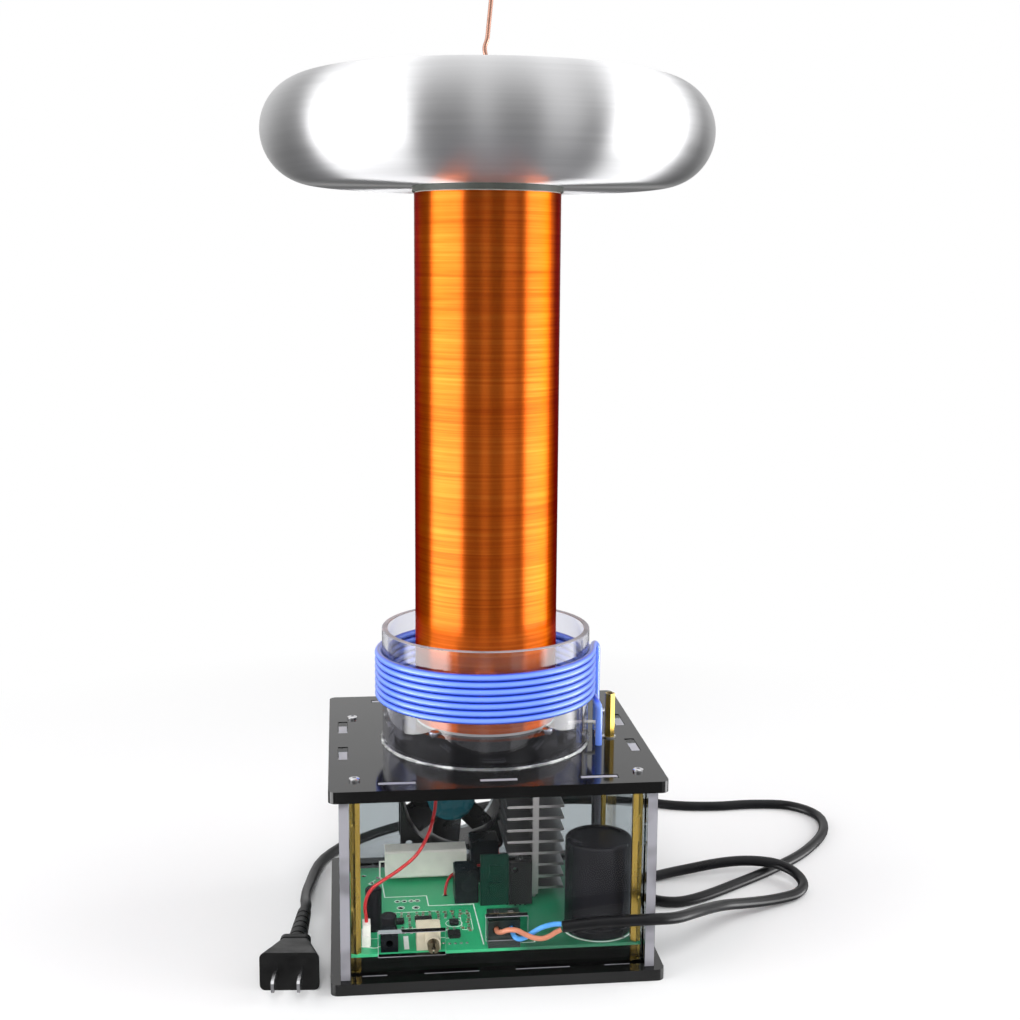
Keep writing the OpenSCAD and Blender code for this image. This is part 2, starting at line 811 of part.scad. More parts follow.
module rectifier() {
    color([0.05, 0.05, 0.05]) translate([rectifier_x, sink_front_y - rectifier_gap - rectifier_t,
        deck_board_z]) difference() {
        union() {
            translate([0, 0, rectifier_gap]) cube([rectifier_w, rectifier_t, rectifier_h]);
            for (i = [-1, 0, 1])
                translate([rectifier_w / 2 + i * pin_pitch / 2, rectifier_t / 2, 0])
                    cylinder(r = pin_t, h = rectifier_gap + cut);
        }
        translate([rectifier_w / 4, -cut, rectifier_h - hole_drop / 2])
            rotate([-half_turn / 2, 0, 0]) cylinder(d = thread_d, h = rectifier_t + 2 * cut);
        translate([rectifier_w, -cut, rectifier_h + rectifier_gap]) rotate([0, half_turn / 4, 0])
            cube([2 * chamfer, rectifier_t + 2 * cut, 2 * chamfer], center = false);
    }
}

module relay() {
    color([0.05, 0.06, 0.08]) translate([resistor_right_x + relay_gap,
        resistor_front_y + resistor_d - relay_d - relay_back, deck_board_z])
        translate([relay_w / 2, relay_d / 2, 0]) {
            block(relay_w, relay_d, relay_h - chamfer, chamfer);
            block(relay_w - 2 * chamfer, relay_d - 2 * chamfer, relay_h, chamfer);
        }
}

module film_capacitor() {
    color([0.12, 0.14, 0.18]) translate([film_x + film_w / 2, film_front_y + film_d / 2,
        deck_board_z]) {
        block(film_w, film_d, film_h - chamfer, chamfer);
        block(film_w - 2 * chamfer, film_d - 2 * chamfer, film_h, chamfer);
    }
}

module driver_board() {
    color([0.05, 0.25, 0.16]) translate([driver_x, driver_front_y, deck_board_z]) {
        cube([driver_w, driver_t, driver_h]);
        for (z = [driver_h / 4, driver_h * 3 / 5])
            translate([driver_w / 2 - driver_chip / 2, -driver_chip_t, z])
                cube([driver_chip, driver_chip_t, driver_chip]);
    }
}

// Ferrite yoke round a bobbin
module gate_transformer() {
    color([0.16, 0.3, 0.2]) translate([transformer_x, transformer_y, deck_board_z]) {
        difference() {
            cube([transformer_w, transformer_d, transformer_h]);
            translate([yoke_t, -cut, yoke_t]) cube([transformer_w - 2 * yoke_t,
                transformer_d + 2 * cut, transformer_h - 2 * yoke_t]);
        }
        translate([transformer_w / 2, transformer_d / 2, yoke_t - flange_t])
            cylinder(r = transformer_w / 2 - yoke_t - bobbin_in / 2,
                h = transformer_h - 2 * yoke_t + 2 * flange_t);
    }
}

module control_chips() {
    color([0.08, 0.08, 0.08]) for (i = [0 : len(chip_places) - 1])
        translate([chip_places[i].x, chip_places[i].y, deck_board_z]) {
            translate([0, 0, chip_lift + chip_t / 2])
                cube([chip_sizes[i].x, chip_sizes[i].y, chip_t], center = true);
            translate([0, 0, chip_lift]) cube([chip_sizes[i].x - chip_foot,
                chip_sizes[i].y + 2 * chip_foot, 2 * chip_lift], center = true);
        }
}

// A small can with a bevelled top
module can(r, h) {
    rotate_extrude() polygon([[0, 0], [r, 0], [r, h - chamfer], [r - chamfer, h], [0, h]]);
}

module small_capacitors() {
    color([0.1, 0.1, 0.12]) {
        translate([-inner_x + small_cap_x, -inner_y + small_cap_y, deck_board_z])
            can(small_cap_r, small_cap_h);
        translate([-inner_x + tall_cap_x, -inner_y + tall_cap_y, deck_board_z])
            can(tall_cap_r, tall_cap_h);
    }
}

// Fan, drawn along +Z from the intake face and then turned to blow along -Y
module in_fan() {
    translate([fan_x, fan_y, fan_z]) rotate([-half_turn / 2, 0, 0]) children();
}

module fan_frame() {
    color([0.05, 0.05, 0.05]) in_fan() {
        difference() {
            union() {
                for (z = [0, fan_d - fan_flange])
                    translate([0, 0, z]) block(fan_w, fan_w, fan_flange, fan_corner);
                cylinder(r = fan_r + fan_shell, h = fan_d);
            }
            translate([0, 0, -cut]) cylinder(r = fan_r, h = fan_d + 2 * cut);
            for (x = [-1, 1], y = [-1, 1])
                translate([x * fan_hole_s, y * fan_hole_s, -cut])
                    cylinder(r = fan_hole_r, h = fan_d + 2 * cut);
        }
        translate([0, 0, fan_d - motor_t]) difference() {
            union() {
                cylinder(r = hub_r, h = motor_t);
                for (i = [0 : strut_count - 1])
                    rotate(half_turn / 4 + full_turn * i / strut_count)
                        translate([hub_r - strut_w, -strut_w / 2, 0])
                            cube([fan_r + fan_shell / 2 - hub_r + strut_w, strut_w, motor_t]);
                translate([0, 0, -bearing_l + motor_t]) cylinder(r = bearing_r, h = bearing_l);
            }
            translate([0, 0, -bearing_l + motor_t - cut])
                cylinder(r = shaft_r + shaft_fit, h = bearing_l + 2 * cut);
        }
    }
}

blade_tip_r = fan_r - blade_gap;
hub_z = fan_d - motor_t - motor_gap - hub_h;

module fan_blade() {
    intersection() {
        difference() {
            cylinder(r = blade_tip_r, h = hub_z + hub_h);
            translate([0, 0, -cut]) cylinder(r = hub_r - hub_wall / 2, h = hub_z + hub_h + 2 * cut);
        }
        translate([0, 0, hub_z + hub_h / 2]) rotate([blade_pitch, 0, 0]) rotate(-blade_swing)
            translate([0, -blade_chord / 2, -blade_t / 2])
                cube([blade_tip_r + cut, blade_chord, blade_t]);
    }
}

module fan_rotor() {
    color([0.08, 0.08, 0.09]) in_fan() {
        translate([0, 0, hub_z]) difference() {
            rotate_extrude() {
                square([hub_r - hub_edge, hub_h]);
                translate([0, hub_edge]) square([hub_r, hub_h - hub_edge]);
                translate([hub_r - hub_edge, hub_edge]) circle(hub_edge);
            }
            translate([0, 0, hub_wall + cut]) cylinder(r = hub_r - hub_wall, h = hub_h);
        }
        translate([0, 0, hub_z + hub_wall]) cylinder(r = shaft_r, h = hub_h + motor_t / 2);
        for (i = [0 : blade_count - 1]) rotate(full_turn * i / blade_count) fan_blade();
    }
}

module fan_screws() {
    color("silver") for (x = [-1, 1], z = [-1, 1])
        translate([fan_x + x * fan_hole_s, panel_y, fan_z + z * fan_hole_s])
            rotate([half_turn / 2, 0, 0]) {
                cylinder(r = fan_screw_r, h = fan_screw_l);
                translate([0, 0, -fan_head_h]) difference() {
                    cylinder(r = fan_head_r, h = fan_head_h);
                    translate([0, 0, -cut]) cube([socket_r, 2 * fan_head_r, 2 * cut + socket_l],
                        center = true);
                }
            }
}

module fan_lead() { color([0.75, 0.1, 0.1]) tube(smooth(fan_route, 1), fan_lead_d, cord_sides); }

// Terminal block: a stepped housing with two wire mouths and two screws above them

module terminal_block() {
    color([0.09, 0.13, 0.1]) translate([terminal_x, terminal_front_y, deck_board_z]) difference() {
        union() {
            cube([terminal_w, terminal_d, terminal_h - terminal_step]);
            translate([0, terminal_step / 2, 0])
                cube([terminal_w, terminal_d - terminal_step, terminal_h]);
        }
        for (x = terminal_xs) {
            translate([x - terminal_x, -cut, terminal_z]) rotate([-half_turn / 2, 0, 0])
                cylinder(r = terminal_bore_r, h = terminal_depth + cut);
            translate([x - terminal_x, terminal_d / 2, terminal_h - terminal_screw_l])
                cylinder(r = terminal_screw_r + play, h = terminal_screw_l + cut);
        }
    }
}

module terminal_screws() {
    color([0.75, 0.62, 0.3]) for (x = terminal_xs)
        translate([x, terminal_front_y + terminal_d / 2, deck_board_z + terminal_h
            - terminal_screw_l]) difference() {
            cylinder(r = terminal_screw_r, h = terminal_screw_l - play);
            translate([0, 0, terminal_screw_l]) cube([2 * terminal_screw_r + cut, pin_t,
                2 * socket_l], center = true);
        }
}

// Potentiometer: body, threaded bush and the shaft that turns in them
pot_front_y = -inner_y + pot_gap;

module potentiometer_body() {
    color([0.72, 0.68, 0.58]) translate([pot_x, pot_front_y, deck_board_z]) difference() {
        union() {
            translate([-pot_w / 2, 0, 0]) cube([pot_w, pot_d, pot_h]);
            translate([pot_shift, 0, pot_z]) rotate([half_turn / 2, 0, 0])
                cylinder(r = bush_r, h = bush_l);
        }
        translate([pot_shift, pot_d - collar_t, pot_z]) rotate([half_turn / 2, 0, 0])
            cylinder(r = pot_r + pot_fit, h = pot_d + bush_l);
        translate([pot_shift, pot_d / 2 + collar_t + play, pot_z]) rotate([half_turn / 2, 0, 0])
            cylinder(r = collar_r + play, h = collar_t + 2 * play);
    }
}

module pot_shaft() {
    color([0.8, 0.78, 0.72]) translate([pot_x + pot_shift, pot_front_y - pot_out, deck_board_z + pot_z])
        rotate([-half_turn / 2, 0, 0]) difference() {
            union() {
                cylinder(r = pot_r, h = pot_out + pot_d - collar_t - play);
                translate([0, 0, pot_out + pot_d / 2]) cylinder(r = collar_r, h = collar_t);
            }
            translate([0, 0, split_l / 2]) cube([split_w, 2 * pot_r + cut, split_l + cut],
                center = true);
            translate([0, 0, -cut]) cylinder(r = split_w, h = split_l + cut);
        }
}

jack_y = -inner_y + board_gap;

module audio_jack() {
    color([0.04, 0.04, 0.04]) translate([jack_x, jack_y, deck_board_z]) difference() {
        union() {
            translate([-jack_w / 2, 0, 0]) cube([jack_w, jack_d, jack_h - chamfer]);
            translate([-jack_w / 2 + chamfer, 0, 0]) cube([jack_w - 2 * chamfer, jack_d, jack_h]);
        }
        translate([0, -cut, jack_z]) rotate([-half_turn / 2, 0, 0])
            cylinder(r = jack_bore_r, h = jack_bore_l + cut);
    }
}

module lead_connector() {
    color([0.92, 0.9, 0.85]) translate([-inner_x + connector_x - connector_w / 2,
        -inner_y + connector_y, deck_board_z]) {
        difference() {
            cube([connector_w, connector_d, connector_h]);
            for (y = [connector_d / 3, connector_d * 2 / 3])
                translate([-cut, y - pin_t / 2, connector_h / 2])
                    cube([cut + pin_t, pin_t, connector_h / 2 + cut]);
        }
        translate([chamfer - connector_w / 3, -chamfer, 0])
            cube([connector_w, connector_d + 2 * chamfer, connector_h / 2]);
    }
}

module sense_lead() { color([0.75, 0.1, 0.1]) tube(sense_route, sense_d, cord_sides); }

// Primary
module primary_former() {
    color([0.85, 0.9, 0.92, 0.3]) translate([0, 0, deck_z]) difference() {
        cylinder(r = tube_r, h = tube_h, $fn = 96);
        translate([0, 0, -cut]) cylinder(r = tube_r - tube_t, h = tube_h + 2 * cut, $fn = 96);
        translate([0, ground_y, ground_wire_z]) rotate([0, half_turn / 2, 0])
            cylinder(r = ground_hole_r, h = tube_r + cut);
    }
}

module glue_bead() {
    color("white") translate([0, 0, deck_z]) rotate_extrude($fn = 96)
        translate([tube_r + bead_fit, 0]) intersection() {
            square([bead_w, bead_h]);
            scale(bead_w) circle(1);
        }
}

// The winding's centre line: a tail up through the deck, the turns, and a tail down
function turn_point(a) = concat(polar(turn_r, a),
    deck_z + turn_z + turn_pitch * (a - turn_start) / full_turn);
function ease(u) = u * u * (3 - 2 * u);
function tail_point(a, side, z, u) = concat(polar(turn_r + tail_out * ease(u),
    a + side * tail_angle * ease(u) * (2 - ease(u))), z - tail_drop * u * u * u);
function tail(a, side, z) = concat([for (i = [1 : tail_rings]) tail_point(a, side, z, i / tail_rings)],
    [for (i = [1 : tail_rings]) concat(polar(tail_r, a + side * tail_angle),
        z - tail_drop - (z - tail_drop - lid_z) * i / tail_rings)]);
first_tail = tail(turn_start, -1, deck_z + turn_z);
last_tail = tail(turn_start, 1, deck_z + turn_z + turn_pitch * turn_count);
winding_route = concat([for (i = [len(first_tail) - 1 : -1 : 0]) first_tail[i]],
    [for (i = [0 : turn_rings * turn_count]) turn_point(turn_start + full_turn * i / turn_rings)],
    last_tail);

// Least distance between the surfaces of stretches that are half a turn apart or more
function least_gap(p, d, apart) = min([for (i = [0 : len(p) - 1 - apart],
    j = [i + apart : len(p) - 1]) norm(p[i] - p[j])]) - d;

module primary_winding() {
    echo(least_gap_in_the_winding = least_gap(winding_route, turn_d, turn_rings / 2));
    color([0.25, 0.4, 0.9]) tube(winding_route, turn_d, turn_sides);
}

module primary_leads() {
    color([0.25, 0.4, 0.9]) for (a = [start_angle, end_angle])
        translate(concat(polar(tail_r, a), deck_board_z))
            cylinder(d = turn_d, h = lid_z - deck_board_z);
}

// Tower
module coil_base_disc() {
    color([0.03, 0.03, 0.03]) translate([0, 0, deck_z]) difference() {
        cylinder(r = disc_r, h = disc_t, $fn = 96);
        for (p = collar_screw_places) translate([p.x, p.y, -cut])
            cylinder(r = bore_r, h = disc_t + 2 * cut);
    }
}

module coil_collar() {
    color([0.03, 0.03, 0.03]) translate([0, 0, tower_z]) difference() {
        cylinder(r = tower_collar_r, h = tower_collar_t, $fn = 96);
        translate([ground_from_x, ground_y, ground_wire_z - disc_t]) rotate([0, half_turn / 2, 0])
            cylinder(r = ground_wire_d / 2 + former_fit / 2, h = tower_collar_r);
        translate([0, 0, -cut])
            cylinder(r = former_r + former_fit, h = tower_collar_t + 2 * cut, $fn = 96);
        for (p = collar_screw_places) translate([p.x, p.y, -cut])
            cylinder(r = bore_r, h = tower_collar_t + 2 * cut);
    }
}

module secondary_former() {
    color([0.9, 0.88, 0.82]) translate([0, 0, tower_z]) difference() {
        cylinder(r = former_r, h = former_h, $fn = 96);
        translate([0, 0, -cut]) cylinder(r = former_r - former_t, h = former_h + 2 * cut, $fn = 96);
    }
}

module secondary_winding() {
    color([0.72, 0.36, 0.1]) translate([0, 0, tower_z + layer_foot]) difference() {
        cylinder(r = former_r + layer_t, h = former_h - layer_foot - layer_head, $fn = 96);
        translate([0, 0, -cut]) cylinder(r = former_r, h = former_h + 2 * cut, $fn = 96);
    }
}

module coil_top_cap() {
    color([0.3, 0.3, 0.31]) translate([0, 0, tower_top]) difference() {
        union() {
            cylinder(r = former_r + cap_flange_over, h = cap_flange_t, $fn = 96);
            translate([0, 0, -cap_plug_l])
                cylinder(r = former_r - former_t - former_fit, h = cap_plug_l + cut, $fn = 96);
        }
        translate([0, 0, -cap_plug_l - cut])
            cylinder(r = rod_r + rod_fit, h = cap_plug_l + cap_flange_t + 2 * cut);
    }
}

// Half of the flattened ring's outline, inset by in
module load_section(in) {
    translate([load_r - rim_r, 0]) circle(rim_r - in, $fn = 96);
    translate([0, in - rim_r]) square([load_r - rim_r, 2 * (rim_r - in)]);
}

module load_half(side) {
    translate([0, 0, load_mid_z]) rotate_extrude($fn = 96) intersection() {
        difference() {
            load_section(0);
            load_section(sheet_t);
            translate([0, -rim_r - cut]) square([rod_r + rod_fit, load_h + 2 * cut]);
        }
        translate([0, side < 0 ? -load_h : 0]) square([load_r + cut, load_h]);
    }
}

module toroid_lower() { color([0.8, 0.8, 0.82]) load_half(-1); }

module toroid_upper() { color([0.8, 0.8, 0.82]) load_half(1); }

module toroid_spacer() {
    color([0.9, 0.9, 0.88]) translate([0, 0, load_z + sheet_t]) difference() {
        cylinder(r = spacer_r, h = load_h - 2 * sheet_t);
        translate([0, 0, -cut]) cylinder(r = rod_r + rod_fit, h = load_h + 2 * cut);
    }
}

rod_foot_z = tower_top - cap_plug_l - rod_reach;
rod_top_z = load_z + load_h + rod_over;

module toroid_rod() {
    color("silver") translate([0, 0, rod_foot_z]) cylinder(r = rod_r, h = rod_top_z - rod_foot_z);
}

module nut(r, bore, h) {
    difference() {
        cylinder(r = r, h = h, $fn = 6);
        translate([0, 0, -cut]) cylinder(r = bore + nut_fit, h = h + 2 * cut);
    }
}

// Nuts under the cap and on the top load, and the one under the ground post
module hex_nuts() {
    color("silver") {
        for (z = [tower_top - cap_plug_l - nut_t, load_z + load_h])
            translate([0, 0, z]) nut(nut_r, rod_r, nut_t);
        translate([ground_x, ground_y, lid_z - small_nut_t])
            nut(small_nut_r, thread_d / 2, small_nut_t);
    }
}

module breakout_wire() {
    color([0.8, 0.45, 0.25]) translate([0, 0, rod_top_z])
        tube(smooth(breakout_route, 3), breakout_d, cord_sides);
}

// Ground post with its solder lug and lead
module ground_post() {
    color([0.75, 0.6, 0.25]) translate([ground_x, ground_y, deck_z + lug_t]) {
        difference() {
            hex_bar(ground_h);
            translate([0, 0, ground_h - ground_bore_l])
                cylinder(r = bore_r, h = ground_bore_l + cut);
        }
        translate([0, 0, -ground_stud_l]) cylinder(d = thread_d, h = ground_stud_l);
    }
}

module ground_lug() {
    color("silver") translate([ground_x, ground_y, deck_z]) difference() {
        union() {
            cylinder(r = lug_r, h = lug_t);
            translate([-lug_tail, -lug_tail_w / 2, 0]) cube([lug_tail, lug_tail_w, lug_t]);
        }
        translate([0, 0, -cut]) cylinder(r = bore_r, h = lug_t + 2 * cut);
    }
}

ground_foot_x = ground_x - lug_tail + ground_wire_d / 2;

module ground_lead() {
    color([0.92, 0.92, 0.9]) translate([0, ground_y, deck_z + ground_wire_z]) {
        translate([ground_from_x, 0, 0]) rotate([0, half_turn / 2, 0])
            cylinder(d = ground_wire_d, h = ground_foot_x - ground_from_x);
        translate([ground_foot_x, 0, 0]) sphere(d = ground_wire_d);
        translate([ground_foot_x, 0, lug_t - ground_wire_z])
            cylinder(d = ground_wire_d, h = ground_wire_z - lug_t);
    }
}

// Mains lead: sheath, two cores and a moulded plug with two blades
module mains_cord() {
    color([0.04, 0.04, 0.04]) tube(smooth(cord_route, cord_steps), cord_d, cord_sides);
}

module live_core() {
    color([0.75, 0.5, 0.4]) tube(smooth(live_route, core_steps), core_d, cord_sides);
}

module neutral_core() {
    color([0.2, 0.5, 0.85]) tube(smooth(neutral_route, core_steps), core_d, cord_sides);
}

// The plug is drawn with its face at y = 0 and its lead towards +Y
module on_plug() { translate([plug_x, plug_y, plug_h / 2]) rotate(-plug_turn) children(); }

module plug_slice(w, h, y) {
    translate([0, y, 0]) rotate([half_turn / 2, 0, 0]) linear_extrude(flat_side)
        rounded(w, h, plug_r, $fn = 32);
}

module plug_body() {
    color([0.05, 0.05, 0.05]) on_plug() {
        hull() {
            plug_slice(plug_w, plug_h, flat_side);
            plug_slice(neck_w, neck_h, plug_l);
        }
        translate([0, plug_l - flat_side, 0]) rotate([-half_turn / 2, 0, 0])
            linear_extrude(plug_r + flat_side) rounded(neck_w + chamfer, neck_h + chamfer, plug_r);
        translate([0, relief_y, 0]) rotate([-half_turn / 2, 0, 0]) rotate_extrude() difference() {
            polygon([[0, -cut], [relief_r, -cut], [relief_r, 0], [relief_end_r, relief_l],
                [0, relief_l]]);
            for (i = [1 : relief_grooves])
                translate([relief_r - groove_in - (relief_r - relief_end_r) * i / relief_grooves,
                    relief_l * i / (relief_grooves + 1)])
                    square([relief_r, groove_w]);
        }
    }
}

module plug_blades() {
    color("silver") on_plug() for (x = [-1, 1])
        translate([x * blade_span / 2, 0, 0]) difference() {
            translate([-blade_thick / 2, -blade_l, -blade_w / 2]) cube([blade_thick, blade_l, blade_w]);
            for (z = [-1, 1]) translate([0, -blade_l, z * blade_w / 2]) rotate([half_turn / 4, 0, 0])
                cube([blade_thick + cut, blade_thick, blade_thick], center = true);
        }
}

base_plate();
top_plate();
left_wall();
right_wall();
front_panel();
back_panel();
foot_standoffs();
lower_standoffs();
middle_standoffs();
top_standoffs();
round_screws();
base_screws();
circuit_board();
storage_capacitor();
cement_resistor();
resistor_leads();
heat_sink();
power_transistors();
rectifier();
relay();
film_capacitor();
driver_board();
gate_transformer();
control_chips();
small_capacitors();
fan_frame();
fan_rotor();
fan_screws();
fan_lead();
terminal_block();
terminal_screws();
potentiometer_body();
pot_shaft();
audio_jack();
lead_connector();
sense_lead();
primary_former();
glue_bead();
primary_winding();
primary_leads();
coil_base_disc();
coil_collar();
secondary_former();
secondary_winding();
coil_top_cap();
toroid_lower();
toroid_upper();
toroid_spacer();
toroid_rod();
hex_nuts();
breakout_wire();
ground_post();
ground_lug();
ground_lead();
mains_cord();
live_core();
neutral_core();
plug_body();
plug_blades();
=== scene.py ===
# %% [markdown]
# # A desktop resonant transformer
# The real thing is a coil demonstration set: a tall former wound with varnished copper wire, a spun metal
# toroid on its top, a few turns of blue wire round a clear tube at its foot, and a clear box that holds the
# drive electronics and a fan. A black mains lead runs from the front to a flat two-blade plug.
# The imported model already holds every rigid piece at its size, so this script gives each piece its finish
# and adds what only the eye needs: fine turns, solder, ink lines and small parts.

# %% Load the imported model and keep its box
import math

import bpy
import numpy as np
from mathutils import Matrix, Vector


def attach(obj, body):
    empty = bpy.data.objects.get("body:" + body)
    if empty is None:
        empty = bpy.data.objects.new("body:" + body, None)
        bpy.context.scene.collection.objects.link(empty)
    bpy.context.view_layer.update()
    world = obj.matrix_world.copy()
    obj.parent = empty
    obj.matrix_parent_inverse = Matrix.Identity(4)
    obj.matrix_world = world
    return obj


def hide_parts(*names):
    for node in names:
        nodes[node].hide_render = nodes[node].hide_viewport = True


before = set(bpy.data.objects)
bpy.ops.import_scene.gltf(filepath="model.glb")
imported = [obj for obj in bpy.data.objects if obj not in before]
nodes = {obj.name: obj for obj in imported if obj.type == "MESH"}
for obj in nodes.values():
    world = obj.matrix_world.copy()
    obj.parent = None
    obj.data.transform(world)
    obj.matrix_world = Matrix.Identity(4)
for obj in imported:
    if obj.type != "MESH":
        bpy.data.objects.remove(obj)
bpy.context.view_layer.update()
MM = 0.001

# %% [markdown]
# ## The camera
# The camera stands a little left of the middle and looks slightly down, with almost no roll. Its place and
# its three angles were fitted to edges of the plates, posts and toroid, so that the views line up.

# %% Camera
CAMERA_MM = (-76.9385, -767.0494, 360.0216)
YAW, PITCH, ROLL = -0.116394, -0.164533, 0.0071817
FOCAL_POINTS, PICTURE_POINTS, SENSOR = 1464.264, 1020.0, 36.0
NEAR, FAR = 0.01, 60.0


def camera_matrix():
    """Rows of a level camera from yaw and pitch, then its right and up axes turned by the roll."""
    look = Vector((-math.sin(YAW) * math.cos(PITCH), math.cos(YAW) * math.cos(PITCH), math.sin(PITCH)))
    level = Vector((math.cos(YAW), math.sin(YAW), 0.0))
    above = level.cross(look)
    right = level * math.cos(ROLL) + above * math.sin(ROLL)
    up = above * math.cos(ROLL) - level * math.sin(ROLL)
    turn = Matrix((right, up, -look)).transposed().to_4x4()
    return Matrix.Translation(Vector(CAMERA_MM) * MM) @ turn


camera_data = bpy.data.cameras.new("camera")
camera_data.sensor_width = SENSOR
camera_data.lens = SENSOR * FOCAL_POINTS / PICTURE_POINTS
camera_data.clip_start, camera_data.clip_end = NEAR, FAR
camera = bpy.data.objects.new("camera", camera_data)
camera.matrix_world = camera_matrix()
bpy.context.scene.collection.objects.link(camera)
bpy.context.scene.camera = camera
print("lens", round(camera_data.lens, 2), "mm")

# %% [markdown]
# ## Helpers for surfaces
# Every new piece is a grid of points: one parameter runs round, the other runs along. A helper joins the
# grid into faces, closes its seam and its ends, and puts it in the scene at the origin.

# %% Grid to mesh
SHARP = math.radians(32)


def grid_faces(rows, cols, loop):
    """Quads between point (i, j) and its next neighbours. Each row is a ring, and looped rows are one too."""
    i, j = np.meshgrid(np.arange(rows if loop else rows - 1), np.arange(cols), indexing="ij")
    i_next, j_next = (i + 1) % rows, (j + 1) % cols
    here, there = i * cols, i_next * cols
    return np.stack([here + j, here + j_next, there + j_next, there + j], -1).reshape(-1, 4)


def add_mesh(name, points, faces, sharp=SHARP):
    """A mesh object from points and lists of point numbers, smooth but for edges past the sharp angle."""
    mesh = bpy.data.meshes.new(name)
    mesh.from_pydata(np.asarray(points, float).reshape(-1, 3).tolist(), [], faces)
    mesh.validate()
    mesh.polygons.foreach_set("use_smooth", np.ones(len(mesh.polygons), bool))
    mesh.set_sharp_from_angle(angle=sharp)
    mesh.update()
    piece = bpy.data.objects.new(name, mesh)
    bpy.context.scene.collection.objects.link(piece)
    return piece


def add_grid(name, grid, sharp=SHARP, loop=False):
    """A closed surface from a grid in metres: its ends get a face each, or its last row joins its first."""
    rows, cols = grid.shape[:2]
    faces = grid_faces(rows, cols, loop).tolist()
    if not loop:
        faces += [list(range(cols))[::-1], list(range((rows - 1) * cols, rows * cols))]
    return add_mesh(name, grid, faces, sharp)


def lathe(name, profile, steps, centre=(0, 0), sharp=SHARP, loop=True):
    """A profile of (radius, height) points in millimetres turned about an upright line.

    A looped profile, such as the wall of a dish, comes back to its start and needs no end faces."""
    p = np.asarray(profile, float)
    a = np.linspace(0, 2 * np.pi, steps, endpoint=False)
    x = centre[0] + p[:, :1] * np.cos(a)
    y = centre[1] + p[:, :1] * np.sin(a)
    z = np.repeat(p[:, 1:], steps, 1)
    return add_grid(name, np.stack([x, y, z], -1) * MM, sharp, loop)


def merge(name, pieces):
    """One object from several, their points and faces put end to end."""
    points, faces, base = [], [], 0
    for piece in pieces:
        mesh = piece.data
        places = np.empty(len(mesh.vertices) * 3)
        mesh.vertices.foreach_get("co", places)
        points.append(places.reshape(-1, 3))
        faces += [[base + v for v in face.vertices] for face in mesh.polygons]
        base += len(mesh.vertices)
        bpy.data.objects.remove(piece)
    return add_mesh(name, np.vstack(points), faces)


# %% Paths and wires
def blend_route(route, steps):
    """Points along a smooth curve through the route: each cubic takes its slopes from its two neighbours."""
    p = np.asarray(route, float)
    q = np.vstack([p[:1], p, p[-1:]])
    u = np.linspace(0, 1, steps, endpoint=False)[:, None]
    parts = []
    for a, b, c, d in zip(q[:-3], q[1:-2], q[2:-1], q[3:]):
        parts.append(0.5 * (2 * b + (c - a) * u + (2 * a - 5 * b + 4 * c - d) * u ** 2
                            + (3 * b - a - 3 * c + d) * u ** 3))
    return np.vstack(parts + [p[-1:]])


def path_sides(path):
    """At each point two directions square to the direction of travel, carried along without twist."""
    t = np.gradient(path, axis=0)
    t /= np.linalg.norm(t, axis=1, keepdims=True)
    start = np.array([0, 0, 1.0]) if abs(t[0, 2]) < 0.9 else np.array([1.0, 0, 0])
    side = np.cross(t[0], start)
    sides = []
    for direction in t:
        side = side - direction * side.dot(direction)
        side = side / np.linalg.norm(side)
        sides.append(side)
    n = np.array(sides)
    return n, np.cross(t, n)


def wire(name, path, radius, sides=14):
    """A solid wire: a circle carried along a path (mm), with one radius or one for each point."""
    path = np.asarray(path, float)
    n, b = path_sides(path)
    a = np.linspace(0, 2 * np.pi, sides, endpoint=False)[::-1]
    r = np.broadcast_to(np.asarray(radius, float), len(path))[:, None, None]
    ring = n[:, None, :] * np.cos(a)[None, :, None] + b[:, None, :] * np.sin(a)[None, :, None]
    return add_grid(name, (path[:, None, :] + r * ring) * MM)


def path_length(path):
    """Sum of the straight steps between neighbouring points."""
    return float(np.linalg.norm(np.diff(path, axis=0), axis=1).sum())


def dress(piece, material, stands_for=None):
    """Gives a new piece its material and the body it rides on, and hides the node it stands for, if it has
    one.
    """
    if stands_for:
        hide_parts(stands_for)
    piece.data.materials.clear()
    piece.data.materials.append(material)
    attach(piece, "case")
    return piece


# %% [markdown]
# ## Helpers for finishes
# A finish starts from one shader. Colour varies a little with noise, roughness varies with another noise as
# handling and dust do, and a fine bump keeps highlights from looking drawn. Every pattern reads Object
# coordinates, in metres, so it stays where it is on the piece. The same helpers build the room's light later.

# %% Nodes
def new_finish(name, colour, rough=0.4, metal=0.0, **sockets):
    """A material with one principled shader. Further sockets are given by name with _ for a space."""
    mat = bpy.data.materials.new(name)
    mat.use_nodes = True
    shader = mat.node_tree.nodes["Principled BSDF"]
    shader.inputs["Base Color"].default_value = (*colour, 1)
    shader.inputs["Roughness"].default_value = rough
    shader.inputs["Metallic"].default_value = metal
    for key, value in sockets.items():
        shader.inputs[key.replace("_", " ")].default_value = value
    return mat


def add_node(mat, kind, **values):
    """A node of that kind; a value whose name is a socket sets the socket, and any other sets a property."""
    node = mat.node_tree.nodes.new(kind)
    for key, value in values.items():
        socket = key.replace("_", " ")
        if socket in node.inputs:
            node.inputs[socket].default_value = value
        else:
            setattr(node, key, value)
    return node


def link(mat, source, target):
    """Joins an output to an input."""
    mat.node_tree.links.new(source, target)


def shader_of(mat):
    """The principled shader of a finish."""
    return mat.node_tree.nodes["Principled BSDF"]


def steer(mat, socket, source):
    """Lets a pattern set one socket of the finish's shader."""
    link(mat, source, shader_of(mat).inputs[socket])


def surface(mat, source):
    """Makes a shader the one that the finish shows."""
    link(mat, source, mat.node_tree.nodes["Material Output"].inputs["Surface"])


